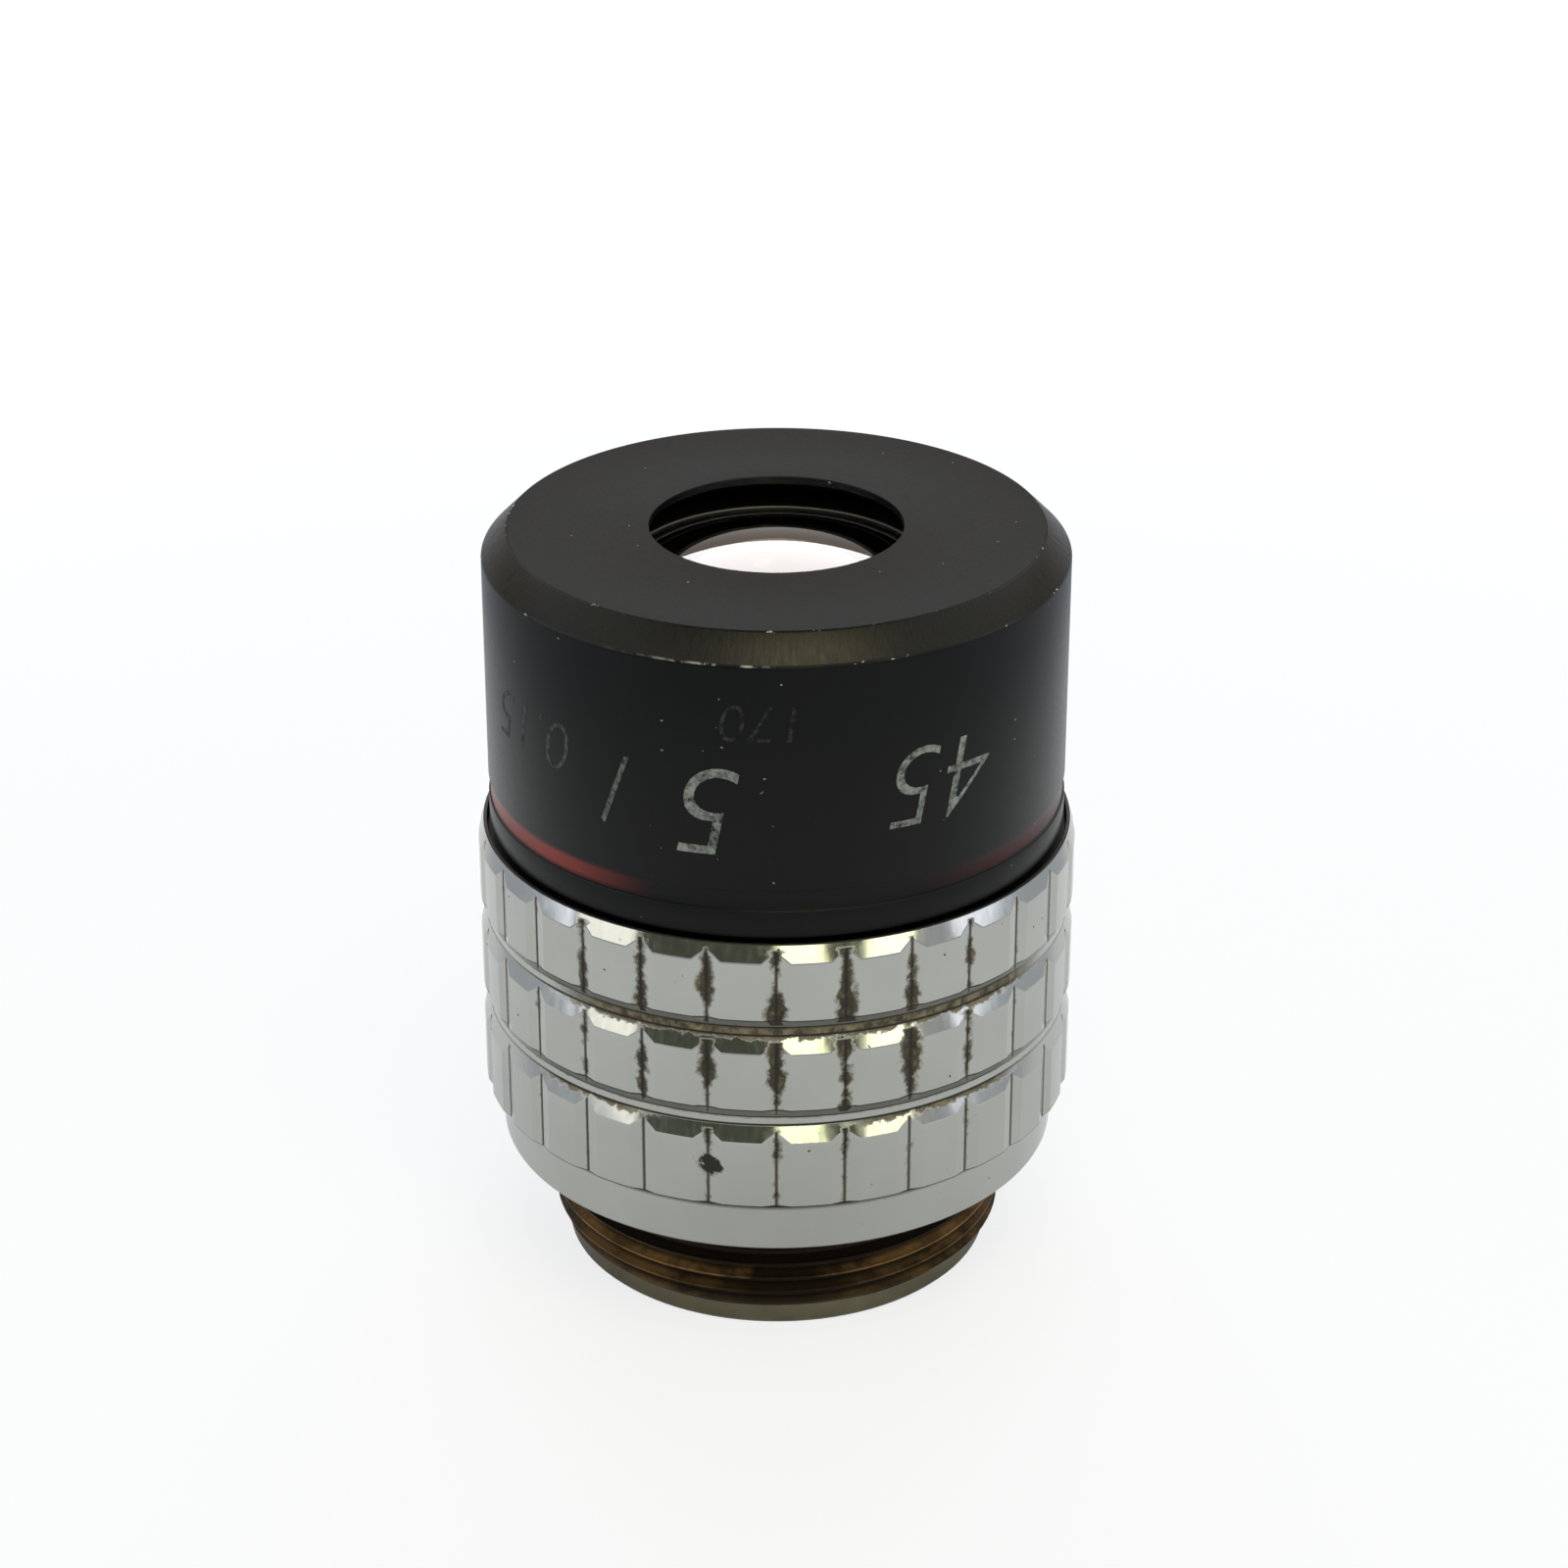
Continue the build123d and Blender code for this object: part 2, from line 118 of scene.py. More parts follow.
# Studio: pale floor, white surround with a dim ceiling, a dim room along the horizon and soft panels
studio = {
    "floorColour": "#dde4f4", "floorHalf": 3.0, "floorDrop": 0.00001,
    "fill": 0.36,  # how strongly the white surround lights things
    "floorGlow": 0.74, "floorWhite": 1.06,  # the floor as the camera sees it
    "footGlow": 0.2, "nearGlow": 0.48, "farGlow": 0.8, "farTone": "#bcc3cc",  # the floor as mirrors see it
    "foot": 0.018, "near": 0.045, "nearEnd": 0.066, "far": 0.088, "clear": 0.2,  # distances from the axis
    "skyTop": 52, "ceiling": 72, "ceilingGlow": 0.08,  # degrees up where the white ends and the dim ceiling starts
    "roomRadius": 0.56, "roomFoot": 0.004, "roomSteps": 24,
    "aim": (0, 0, 0.02), "panelWatts": 4,  # what the panels point at; watts for each square metre and unit of glow
}
room = {  # what only mirrors see: degrees round from the front, top in degrees up, tone below and at the top
    "roomFront": {"from": -52, "to": 52, "top": 14, "rise": 0.5, "tone": "#5b5e50", "edge": "#8a8072"},
    "roomRight": {"from": 52, "to": 105, "top": 14, "rise": 0.5, "tone": "#c8c8cc", "edge": "#d8d8dc"},
    "roomLeft": {"from": -105, "to": -52, "top": 14, "rise": 0.5, "tone": "#c8c8cc", "edge": "#d8d8dc"},
    "roomBack": {"from": 105, "to": 255, "top": 26.5, "rise": 0.2, "tone": "#c3bfbb", "edge": "#94887e"},
}


def seenRays(tree):  # 1 for what the camera, a mirror or glass looks at, 0 for light that falls on things
    path = addNode(tree, "LightPath").node
    first = addNode(tree, "Math", {0: path.outputs["Is Camera Ray"], 1: path.outputs["Is Glossy Ray"]},
                    operation="MAXIMUM")
    return addNode(tree, "Math", {0: first, 1: path.outputs["Is Transmission Ray"]}, operation="MAXIMUM")


world = bpy.data.worlds.new("studioWorld")
world.use_nodes = True
bpy.context.scene.world = world
sky = world.node_tree
sky.nodes.clear()
skyOut = sky.nodes.new("ShaderNodeOutputWorld")
upward = addNode(sky, "SeparateXYZ", {0: addNode(sky, "TexCoord", out="Generated")}, out=2)
ceiling = addNode(sky, "MapRange", {"Value": upward, "From Min": math.sin(math.radians(studio["skyTop"])),
                                    "From Max": math.sin(math.radians(studio["ceiling"])),
                                    "To Min": 1.0, "To Max": studio["ceilingGlow"]}, interpolation_type="SMOOTHSTEP")
skyLevel = addNode(sky, "MapRange", {"Value": seenRays(sky), "To Min": studio["fill"], "To Max": ceiling})
sky.links.new(addNode(sky, "Background", {"Color": (1, 1, 1, 1), "Strength": skyLevel}), skyOut.inputs[0])

floorLook, tree, surface = newLook("paleStudioFloor")
away = addNode(tree, "VectorMath", {0: addNode(tree, "TexCoord", out="Object")}, out="Value", operation="LENGTH")
foot = addNode(tree, "MapRange", {"Value": away, "From Min": studio["foot"], "From Max": studio["near"],
                                  "To Min": studio["footGlow"], "To Max": studio["nearGlow"]})
far = addNode(tree, "MapRange", {"Value": away, "From Min": studio["nearEnd"], "From Max": studio["far"]},
              interpolation_type="SMOOTHSTEP")
lit = addNode(tree, "MapRange", {"Value": far, "To Min": foot, "To Max": studio["farGlow"]})
mirrored = addNode(tree, "Math", {0: seenRays(tree), 1: lit}, operation="MULTIPLY")
direct = addNode(tree, "LightPath", out="Is Camera Ray")
viewed = addNode(tree, "MapRange", {"Value": away, "From Min": studio["near"], "From Max": studio["clear"],
                                    "To Min": studio["floorGlow"], "To Max": 1.0}, interpolation_type="SMOOTHSTEP")
share = addNode(tree, "MapRange", {"Value": direct, "To Min": mirrored, "To Max": viewed})
mirrorTone = addNode(tree, "Mix", {0: far, 6: (1, 1, 1, 1), 7: linear(studio["farTone"])}, out=2, data_type="RGBA")
tone = addNode(tree, "Mix", {0: direct, 6: mirrorTone, 7: (1, 1, 1, 1)}, out=2, data_type="RGBA")
floorShade = addNode(tree, "BsdfDiffuse", {"Color": linear(studio["floorColour"])})
floorGlow = addNode(tree, "Emission", {"Color": tone, "Strength": studio["floorWhite"]})
tree.links.new(addNode(tree, "MixShader", {0: share, 1: floorShade, 2: floorGlow}), surface)


def stagePiece(name, bm, look):
    mesh = bpy.data.meshes.new(name)
    bm.to_mesh(mesh)
    bm.free()
    mesh.materials.append(look)
    prop = bpy.data.objects.new(name, mesh)
    bpy.context.scene.collection.objects.link(prop)
    return prop


bm = bmesh.new()
bmesh.ops.create_grid(bm, x_segments=1, y_segments=1, size=studio["floorHalf"],
                      matrix=Matrix.Translation((0, 0, -studio["floorDrop"])))
stagePiece("studioFloor", bm, floorLook)

for name, wall in room.items():
    top = studio["roomRadius"] * math.tan(math.radians(wall["top"]))
    wallLook, tree, surface = newLook(name + "Wall")
    level = addNode(tree, "SeparateXYZ", {0: addNode(tree, "TexCoord", out="Object")}, out=2)
    rise = addNode(tree, "MapRange", {"Value": level, "From Min": top * wall["rise"], "From Max": top},
                   interpolation_type="SMOOTHSTEP")
    tone = addNode(tree, "Mix", {0: rise, 6: linear(wall["tone"]), 7: linear(wall["edge"])}, out=2, data_type="RGBA")
    tree.links.new(addNode(tree, "Emission", {"Color": tone, "Strength": 1.0}), surface)
    bm = bmesh.new()
    a = math.radians(wall["from"])
    x, y = studio["roomRadius"] * math.sin(a), -studio["roomRadius"] * math.cos(a)
    ends = [bm.verts.new((x, y, studio["roomFoot"])), bm.verts.new((x, y, top))]
    bmesh.ops.spin(bm, geom=ends + [bm.edges.new(ends)], cent=(0, 0, 0), axis=(0, 0, 1),
                   angle=math.radians(wall["to"] - wall["from"]), steps=studio["roomSteps"])
    screen = stagePiece(name, bm, wallLook)
    screen.visible_camera = screen.visible_diffuse = screen.visible_shadow = False

# Soft panels: turn in degrees round from the front, lift in degrees, distance and size in m
panels = {
    "keyPanel": {"turn": 14, "lift": 62, "away": 0.50, "wide": 0.29, "tall": 0.20, "glow": 4.2, "tint": "#fff3bc"},
    "backPanel": {"turn": 180, "lift": 41, "away": 0.60, "wide": 0.75, "tall": 0.44, "glow": 1.5, "tint": "#ffffff"},
    "warmStripA": {"turn": 8.5, "lift": 9, "away": 0.50, "wide": 0.148, "tall": 0.13, "glow": 2.6, "tint": "#ffffd4"},
    "warmStripB": {"turn": 41.5, "lift": 8, "away": 0.50, "wide": 0.166, "tall": 0.15, "glow": 2.5, "tint": "#ffffda"},
    "leftStrip": {"turn": -64, "lift": 7.5, "away": 0.50, "wide": 0.226, "tall": 0.17, "glow": 1.15, "tint": "#fffdee"},
    "leftPanel": {"turn": -92, "lift": 7.1, "away": 0.32, "wide": 0.157, "tall": 0.12, "glow": 1.15, "tint": "#eef1ff"},
    "rightPanel": {"turn": 85, "lift": 7.1, "away": 0.32, "wide": 0.23, "tall": 0.12, "glow": 1.15, "tint": "#eef1ff"},
}
aim = Vector(studio["aim"])
for name, panel in panels.items():
    lamp = bpy.data.lights.new(name, "AREA")
    lamp.shape = "RECTANGLE"
    lamp.size, lamp.size_y = panel["wide"], panel["tall"]
    lamp.energy = panel["glow"] * studio["panelWatts"] * panel["wide"] * panel["tall"]
    lamp.color = linear(panel["tint"])[:3]
    box = bpy.data.objects.new(name, lamp)
    a, e = math.radians(panel["turn"]), math.radians(panel["lift"])
    towards = Vector((math.sin(a) * math.cos(e), -math.cos(a) * math.cos(e), math.sin(e)))
    box.location = aim + towards * panel["away"]
    box.rotation_euler = towards.to_track_quat("Z", "Y").to_euler()
    box.visible_camera = False
    bpy.context.scene.collection.objects.link(box)
print("studio:", len(panels), "soft panels, floor and camera set")


# Satin chrome over brass, worn smooth: mirrors its surround softly, with brown grime left in the knurl, painted shade
# lines in its creases and a painted dark reflection on the lower bevels
knurlWearAndShade = {  # heights, radii and widths in mm, degrees round from the front
    "pads": 28, "padRadius": 13.1, "padFoot": (12.985, 13.015), "bevelOut": (13.15, 13.13),
    "fluteTurn": (60, 16), "fluteUp": (9.0, 16.0), "fluteReach": (0.12, 0.62), "fluteLine": (0.11, 0.03),
    "grooves": (  # grime between the rows: foot, head, then where it starts and ends round the front
        (16.36, 17.02, (-50, -34), (66, 48)), (12.00, 12.24, (10, 20), (58, 44)),
        (12.05, 12.24, (-56, -44), (-20, -32)),
    ),
    "clotTurn": -12.4, "clotUp": 10.2, "clotReach": (0.58, 0.36),
    # the seams are painted shade lines in the creases and under the lowest row
    "seams": (  # height and half width
        (12.22, 0.05), (16.53, 0.05), (12.62, 0.035), (16.93, 0.035), (13.01, 0.035), (17.32, 0.035),
        (8.0, 0.22), (8.3, 0.04),
    ),
    # foot and head of each lower bevel that carries a painted dark reflection
    "darkBevels": ((12.56, 13.03), (16.87, 17.34)),  # foot and head
    "frontTurn": (62, 46),  # the painted shade lines and the painted dark reflection on the bevels are faint beyond the first, full within the second
}


def satinChrome():
    look, tree, surface = newLook("satinChromePlate")
    spot, out, up, turn = turnedPlaces(tree)
    knurlMarks = knurlWearAndShade
    crumbs = addNode(tree, "TexNoise", {"Vector": spot, "Scale": 1 / (0.5 * mm), "Detail": 6, "Roughness": 0.65})
    patches = addNode(tree, "TexNoise", {"Vector": spot, "Scale": 1 / (3.0 * mm), "Detail": 2})
    ragged = addNode(tree, "MapRange", {"Value": crumbs, "From Min": 0.25, "From Max": 0.75,
                                        "To Min": -0.24, "To Max": 0.24})  # mm
    sideways = addNode(tree, "Math", {0: turn}, operation="ABSOLUTE")
    # grime in the flutes: each flute holds its own amount, which changes along its height
    along = addNode(tree, "Math", {0: turn, 1: knurlMarks["pads"] / 360}, operation="MULTIPLY")
    nearest = addNode(tree, "Math", {0: along, 1: 0.5}, operation="PINGPONG")
    padWidth = 2 * math.pi * knurlMarks["padRadius"] / knurlMarks["pads"]
    fluteAway = addNode(tree, "Math", {0: nearest, 1: padWidth}, operation="MULTIPLY")
    flute = addNode(tree, "Math", {0: along}, operation="ROUND")
    ownSide = addNode(tree, "Math", {0: flute, 1: 3.71}, operation="MULTIPLY")  # far enough apart to share nothing
    ownUp = addNode(tree, "Math", {0: up, 1: 1 / 2.3}, operation="MULTIPLY")  # a change every 2.3 mm or so
    ownSpot = addNode(tree, "CombineXYZ", {0: ownSide, 1: ownUp})
    amount = addNode(tree, "TexNoise", {"Vector": ownSpot, "Scale": 1.0, "Detail": 1})
    frontShare = addNode(tree, "MapRange", {"Value": sideways, "From Min": knurlMarks["fluteTurn"][0],
                                            "From Max": knurlMarks["fluteTurn"][1], "To Min": 0.2},
                         interpolation_type="SMOOTHSTEP")
    rowShare = addNode(tree, "MapRange", {"Value": up, "From Min": knurlMarks["fluteUp"][0], "From Max": knurlMarks["fluteUp"][1],
                                          "To Min": 0.3}, interpolation_type="SMOOTHSTEP")
    share = addNode(tree, "Math", {0: frontShare, 1: rowShare}, operation="MULTIPLY")
    wide = addNode(tree, "MapRange", {"Value": amount, "From Min": 0.3, "From Max": 0.7,
                                      "To Min": knurlMarks["fluteReach"][0], "To Max": knurlMarks["fluteReach"][1]})
    reach = addNode(tree, "Math", {0: wide, 1: share}, operation="MULTIPLY")
    raggedReach = addNode(tree, "Math", {0: reach, 1: ragged}, operation="ADD")
    cover = addNode(tree, "Math", {0: raggedReach, 1: fluteAway}, operation="SUBTRACT")
    onPads = addNode(tree, "MapRange", {"Value": out, "From Min": knurlMarks["padFoot"][0], "From Max": knurlMarks["padFoot"][1]})
    flutePatch = addNode(tree, "MapRange", {"Value": cover, "From Min": -0.03, "From Max": 0.22},
                         interpolation_type="SMOOTHSTEP")
    fluteGrime = addNode(tree, "Math", {0: flutePatch, 1: onPads}, operation="MULTIPLY")
    line = addNode(tree, "MapRange", {"Value": fluteAway, "From Min": knurlMarks["fluteLine"][0],
                                      "From Max": knurlMarks["fluteLine"][1], "To Max": 0.9}, interpolation_type="SMOOTHSTEP")
    fluteLine = addNode(tree, "Math", {0: line, 1: onPads}, operation="MULTIPLY")
    # grime in the two grooves between the rows
    grooveGrime = 0.0
    raggedUp = addNode(tree, "Math", {0: up, 1: ragged}, operation="ADD")
    for foot, head, left, right in knurlMarks["grooves"]:
        above = addNode(tree, "MapRange", {"Value": raggedUp, "From Min": foot - 0.08, "From Max": foot + 0.08},
                        interpolation_type="SMOOTHSTEP")
        below = addNode(tree, "MapRange", {"Value": up, "From Min": head + 0.04, "From Max": head - 0.04})
        fromLeft = addNode(tree, "MapRange", {"Value": turn, "From Min": left[0], "From Max": left[1]},
                           interpolation_type="SMOOTHSTEP")
        fromRight = addNode(tree, "MapRange", {"Value": turn, "From Min": right[0], "From Max": right[1]},
                            interpolation_type="SMOOTHSTEP")
        band = addNode(tree, "Math", {0: above, 1: below}, operation="MULTIPLY")
        span = addNode(tree, "Math", {0: fromLeft, 1: fromRight}, operation="MULTIPLY")
        stretch = addNode(tree, "Math", {0: band, 1: span}, operation="MULTIPLY")
        grooveGrime = addNode(tree, "Math", {0: grooveGrime, 1: stretch}, operation="MAXIMUM")
    grime = addNode(tree, "Math", {0: fluteGrime, 1: grooveGrime}, operation="MAXIMUM")
    # one dark clot across a flute of the lowest row
    arc = math.radians(knurlMarks["padRadius"])  # mm round the grip for each degree
    clotSide = addNode(tree, "Math", {0: turn, 1: arc, 2: -arc * knurlMarks["clotTurn"]}, operation="MULTIPLY_ADD")
    clotAway = edgeAway(tree, clotSide, up, (0.0, knurlMarks["clotUp"]))
    clotEdge = addNode(tree, "Math", {0: ragged, 1: -1.6, 2: clotAway}, operation="MULTIPLY_ADD")
    clot = addNode(tree, "MapRange", {"Value": clotEdge, "From Min": knurlMarks["clotReach"][0],
                                      "From Max": knurlMarks["clotReach"][1]}, interpolation_type="SMOOTHSTEP")
    crumbled = addNode(tree, "MapRange", {"Value": crumbs, "From Min": 0.36, "From Max": 0.46})
    darkClot = addNode(tree, "Math", {0: clot, 1: crumbled}, operation="MULTIPLY")
    # painted shade: thin dark lines where two turned faces meet, and a wider one under the lowest row
    seam = 0.0
    for middle, thick in knurlMarks["seams"]:
        above = addNode(tree, "Math", {0: up, 1: middle}, operation="SUBTRACT")
        off = addNode(tree, "Math", {0: above}, operation="ABSOLUTE")
        one = addNode(tree, "MapRange", {"Value": off, "From Min": thick * 1.5, "From Max": thick * 0.6})
        seam = addNode(tree, "Math", {0: seam, 1: one}, operation="MAXIMUM")
    inFront = addNode(tree, "MapRange", {"Value": sideways, "From Min": knurlMarks["frontTurn"][0],
                                         "From Max": knurlMarks["frontTurn"][1], "To Min": 0.4})
    paintedSeamShade = addNode(tree, "Math", {0: seam, 1: inFront}, operation="MULTIPLY")
    # painted reflection: the bevels under the two upper rows are darkened grey, standing in for the shadowed floor they
    # mirror
    darkBevels = []
    rough = addNode(tree, "Math", {0: ragged, 1: 0.3}, operation="MULTIPLY")
    level = addNode(tree, "Math", {0: up, 1: rough}, operation="ADD")
    for foot, head in knurlMarks["darkBevels"]:
        above = addNode(tree, "MapRange", {"Value": level, "From Min": foot - 0.05, "From Max": foot + 0.05})
        below = addNode(tree, "MapRange", {"Value": level, "From Min": head + 0.05, "From Max": head - 0.01})
        darkBevels.append(addNode(tree, "Math", {0: above, 1: below}, operation="MULTIPLY"))
    bothBevels = addNode(tree, "Math", {0: darkBevels[0], 1: darkBevels[1]}, operation="MAXIMUM")
    onBevel = addNode(tree, "MapRange", {"Value": out, "From Min": knurlMarks["bevelOut"][0], "From Max": knurlMarks["bevelOut"][1],
                                         "To Max": 0.66})
    grey = addNode(tree, "Math", {0: bothBevels, 1: onBevel}, operation="MULTIPLY")
    darkBevelShade = addNode(tree, "Math", {0: grey, 1: inFront}, operation="MULTIPLY")
    # a few dark pits, and all the marks together: grime, pits and the clot with the painted shade lines and the painted
    # dark bevels
    pitSpot = addNode(tree, "TexNoise", {"Vector": spot, "Scale": 1 / (0.4 * mm), "Detail": 1})
    pits = addNode(tree, "MapRange", {"Value": pitSpot, "From Min": 0.785, "From Max": 0.815})
    lines = addNode(tree, "Math", {0: paintedSeamShade, 1: fluteLine}, operation="MAXIMUM")
    specks = addNode(tree, "Math", {0: pits, 1: darkClot}, operation="MAXIMUM")
    pitsAndShade = addNode(tree, "Math", {0: specks, 1: darkBevelShade}, operation="MAXIMUM")
    marks = addNode(tree, "Math", {0: lines, 1: pitsAndShade}, operation="MAXIMUM")
    grimeAndShade = addNode(tree, "Math", {0: grime, 1: marks}, operation="MAXIMUM")
    lighter = addNode(tree, "Math", {0: grooveGrime, 1: 0.17, 2: crumbs}, operation="MULTIPLY_ADD")
    grimeTone = addNode(tree, "ValToRGB", {0: lighter})
    stops = grimeTone.node.color_ramp.elements
    stops[0].position, stops[0].color = 0.36, linear("#1a1712")
    stops[1].position, stops[1].color = 0.78, linear("#7c735e")
    stops.new(0.58).color = linear("#3f392d")
    # near black for the pits, the clot and the flute lines, and for the painted shade lines and dark bevels
    dark = addNode(tree, "Mix", {0: marks, 6: grimeTone, 7: linear("#171613")}, out=2, data_type="RGBA")
    cloud = addNode(tree, "Mix", {0: patches, 6: linear("#a9aaa5"), 7: linear("#b4b5b0")}, out=2, data_type="RGBA")
    colour = addNode(tree, "Mix", {0: grimeAndShade, 6: cloud, 7: dark}, out=2, data_type="RGBA")
    streakSpot = addNode(tree, "Mapping", {0: spot, "Scale": (1, 1, 0.06)})
    streaks = addNode(tree, "TexNoise", {"Vector": streakSpot, "Scale": 1 / (0.25 * mm), "Detail": 3})
    satin = addNode(tree, "MapRange", {"Value": streaks, "From Min": 0.3, "From Max": 0.7,
                                       "To Min": 0.08, "To Max": 0.16})
    roughness = addNode(tree, "Mix", {0: grimeAndShade, 2: satin, 3: 0.85})
    metal = addNode(tree, "Math", {0: 1.0, 1: grimeAndShade}, operation="SUBTRACT")
    relief = addNode(tree, "Bump", {"Height": crumbs, "Distance": 0.12 * mm, "Strength": grime})
    shader = addNode(tree, "BsdfPrincipled", {"Base Color": colour, "Metallic": metal, "Roughness": roughness,
                                              "Normal": relief})
    tree.links.new(shader, surface)
    return look


# Bare brass, browned: dull gold at the sides and darker in front, with painted shade in the thread roots and, almost
# black under the shoulder, a painted shadow with some dirt
threadStainAndShade = {  # heights and radii in mm, degrees round from the front
    # shoulder: heights of the painted shadow, with some dirt, under the shoulder; root: radii of the painted shade in
    # the thread roots
    "upperTurn": (2.45, 2.65), "shoulder": (3.2, 3.45), "root": (9.66, 9.9), "crest": (10.0, 10.12),
    "edgeUp": (3.1, 2.75), "edgeTurn": (-3.7, -4.6),  # the left edge leans over on the upper turn
    "edgeSoft": (20, 1.6), "fadeTurn": 8, "fadeEnd": (34, 16),  # on the lower turns, then on the upper one
}


def brownedBrass():
    look, tree, surface = newLook("brownedBrass")
    spot, out, up, turn = turnedPlaces(tree)
    mark = threadStainAndShade
    longSpot = addNode(tree, "Mapping", {0: spot, "Scale": (1, 1, 1.8)})
    stain = addNode(tree, "TexNoise", {"Vector": longSpot, "Scale": 1 / (2.6 * mm), "Detail": 6, "Roughness": 0.65})
    smear = addNode(tree, "MapRange", {"Value": stain, "From Min": 0.28, "From Max": 0.68},
                    interpolation_type="SMOOTHSTEP")
    # darker in front: the dark area has a sharp left edge on the upper turn, and thins out slowly lower down
    upper = addNode(tree, "MapRange", {"Value": up, "From Min": mark["upperTurn"][0], "From Max": mark["upperTurn"][1]})
    slant = addNode(tree, "MapRange", {"Value": up, "From Min": mark["edgeUp"][0], "From Max": mark["edgeUp"][1],
                                       "To Min": mark["edgeTurn"][0], "To Max": mark["edgeTurn"][1]})
    soft = addNode(tree, "MapRange", {"Value": upper, "To Min": mark["edgeSoft"][0], "To Max": mark["edgeSoft"][1]})
    edgeEnd = addNode(tree, "Math", {0: slant, 1: soft}, operation="SUBTRACT")
    ragged = addNode(tree, "Math", {0: stain, 1: 3.0, 2: turn}, operation="MULTIPLY_ADD")
    edge = addNode(tree, "MapRange", {"Value": ragged, "From Min": slant, "From Max": edgeEnd})
    fadeEnd = addNode(tree, "MapRange", {"Value": upper, "To Min": mark["fadeEnd"][0], "To Max": mark["fadeEnd"][1]})
    fade = addNode(tree, "MapRange", {"Value": turn, "From Min": mark["fadeTurn"], "From Max": fadeEnd},
                   interpolation_type="SMOOTHSTEP")
    sideShare = addNode(tree, "Math", {0: edge, 1: fade}, operation="MAXIMUM")
    gold = addNode(tree, "MapRange", {"Value": sideShare, "To Min": 0.04, "To Max": 1.0})
    lower = addNode(tree, "MapRange", {"Value": upper, "To Min": 0.58})
    lightShare = addNode(tree, "Math", {0: gold, 1: lower}, operation="MULTIPLY")
    bare = addNode(tree, "Math", {0: smear, 1: lightShare}, operation="MULTIPLY")
    tone = addNode(tree, "Mix", {0: bare, 6: linear("#1c140b"), 7: linear("#8c6d42")}, out=2, data_type="RGBA")
    # painted shade: the thread roots are darkened
    depth = addNode(tree, "MapRange", {"Value": out, "From Min": mark["root"][0], "From Max": mark["root"][1]})
    flank = addNode(tree, "Mix", {0: depth, 6: linear("#140e07"), 7: tone}, out=2, data_type="RGBA")
    # painted shadow with some dirt: almost black under the shoulder
    shoulder = addNode(tree, "MapRange", {"Value": up, "From Min": mark["shoulder"][0],
                                          "From Max": mark["shoulder"][1]}, interpolation_type="SMOOTHSTEP")
    colour = addNode(tree, "Mix", {0: shoulder, 6: flank, 7: linear("#171008")}, out=2, data_type="RGBA")
    roughness = addNode(tree, "MapRange", {"Value": stain, "To Min": 0.42, "To Max": 0.64})
    metal = addNode(tree, "MapRange", {"Value": out, "From Min": mark["crest"][0], "From Max": mark["crest"][1],
                                       "To Min": 0.12, "To Max": 0.6})
    relief = addNode(tree, "Bump", {"Height": stain, "Distance": 0.03 * mm, "Strength": 0.5})
    shader = addNode(tree, "BsdfPrincipled", {"Base Color": colour, "Metallic": metal, "Roughness": roughness,
                                              "Specular IOR Level": 0.2, "Normal": relief})
    tree.links.new(shader, surface)
    return look


# Dull nickel on the plain rear rim: olive-grey, finely turned
def dullNickel():
    look, tree, surface = newLook("dullNickelRim")
    spot = addNode(tree, "TexCoord", out="Object")
    stain = addNode(tree, "TexNoise", {"Vector": spot, "Scale": 1 / (1.6 * mm), "Detail": 5})
    colour = addNode(tree, "Mix", {0: stain, 6: linear("#5c5848"), 7: linear("#817d6a")}, out=2, data_type="RGBA")
    ringSpot = addNode(tree, "Mapping", {0: spot, "Scale": (0.05, 0.05, 1)})
    rings = addNode(tree, "TexNoise", {"Vector": ringSpot, "Scale": 1 / (0.12 * mm), "Detail": 2})
    roughness = addNode(tree, "MapRange", {"Value": stain, "To Min": 0.28, "To Max": 0.46})
    relief = addNode(tree, "Bump", {"Height": rings, "Distance": 0.01 * mm, "Strength": 0.4})
    shader = addNode(tree, "BsdfPrincipled", {"Base Color": colour, "Metallic": 1.0, "Roughness": roughness,
                                              "Normal": relief})
    tree.links.new(shader, surface)
    return look


# Brass blackened in a bath: matt, nearly black, with a faint brown where the black is thin and a painted highlight
# along the lip's edge
cellLip = {"edge": (6.385, 32.535), "rubbedAndHighlit": (0.06, 0.035)}  # radius and height of the lip's edge, reach of the painted highlight


def blackenedBrass():
    look, tree, surface = newLook("blackenedBrass")
    spot, out, up = turnedPlaces(tree)[:3]
    thin = addNode(tree, "TexNoise", {"Vector": spot, "Scale": 1 / (0.9 * mm), "Detail": 5})
    black = addNode(tree, "Mix", {0: thin, 6: linear("#0d0c0b"), 7: linear("#1b1916")}, out=2, data_type="RGBA")
    # painted highlight: a light grey ring along the lip's inner edge
    lipAway = edgeAway(tree, out, up, cellLip["edge"])
    rubbedAndHighlit = addNode(tree, "MapRange", {"Value": lipAway, "From Min": cellLip["rubbedAndHighlit"][0],
                                        "From Max": cellLip["rubbedAndHighlit"][1]})
    colour = addNode(tree, "Mix", {0: rubbedAndHighlit, 6: black, 7: linear("#8a8a84")}, out=2, data_type="RGBA")
    roughness = addNode(tree, "MapRange", {"Value": thin, "To Min": 0.42, "To Max": 0.62})
    relief = addNode(tree, "Bump", {"Height": thin, "Distance": 0.008 * mm, "Strength": 0.4})
    shader = addNode(tree, "BsdfPrincipled", {"Base Color": colour, "Roughness": roughness, "IOR": 1.4,
                                              "Normal": relief})
    tree.links.new(shader, surface)
    return look


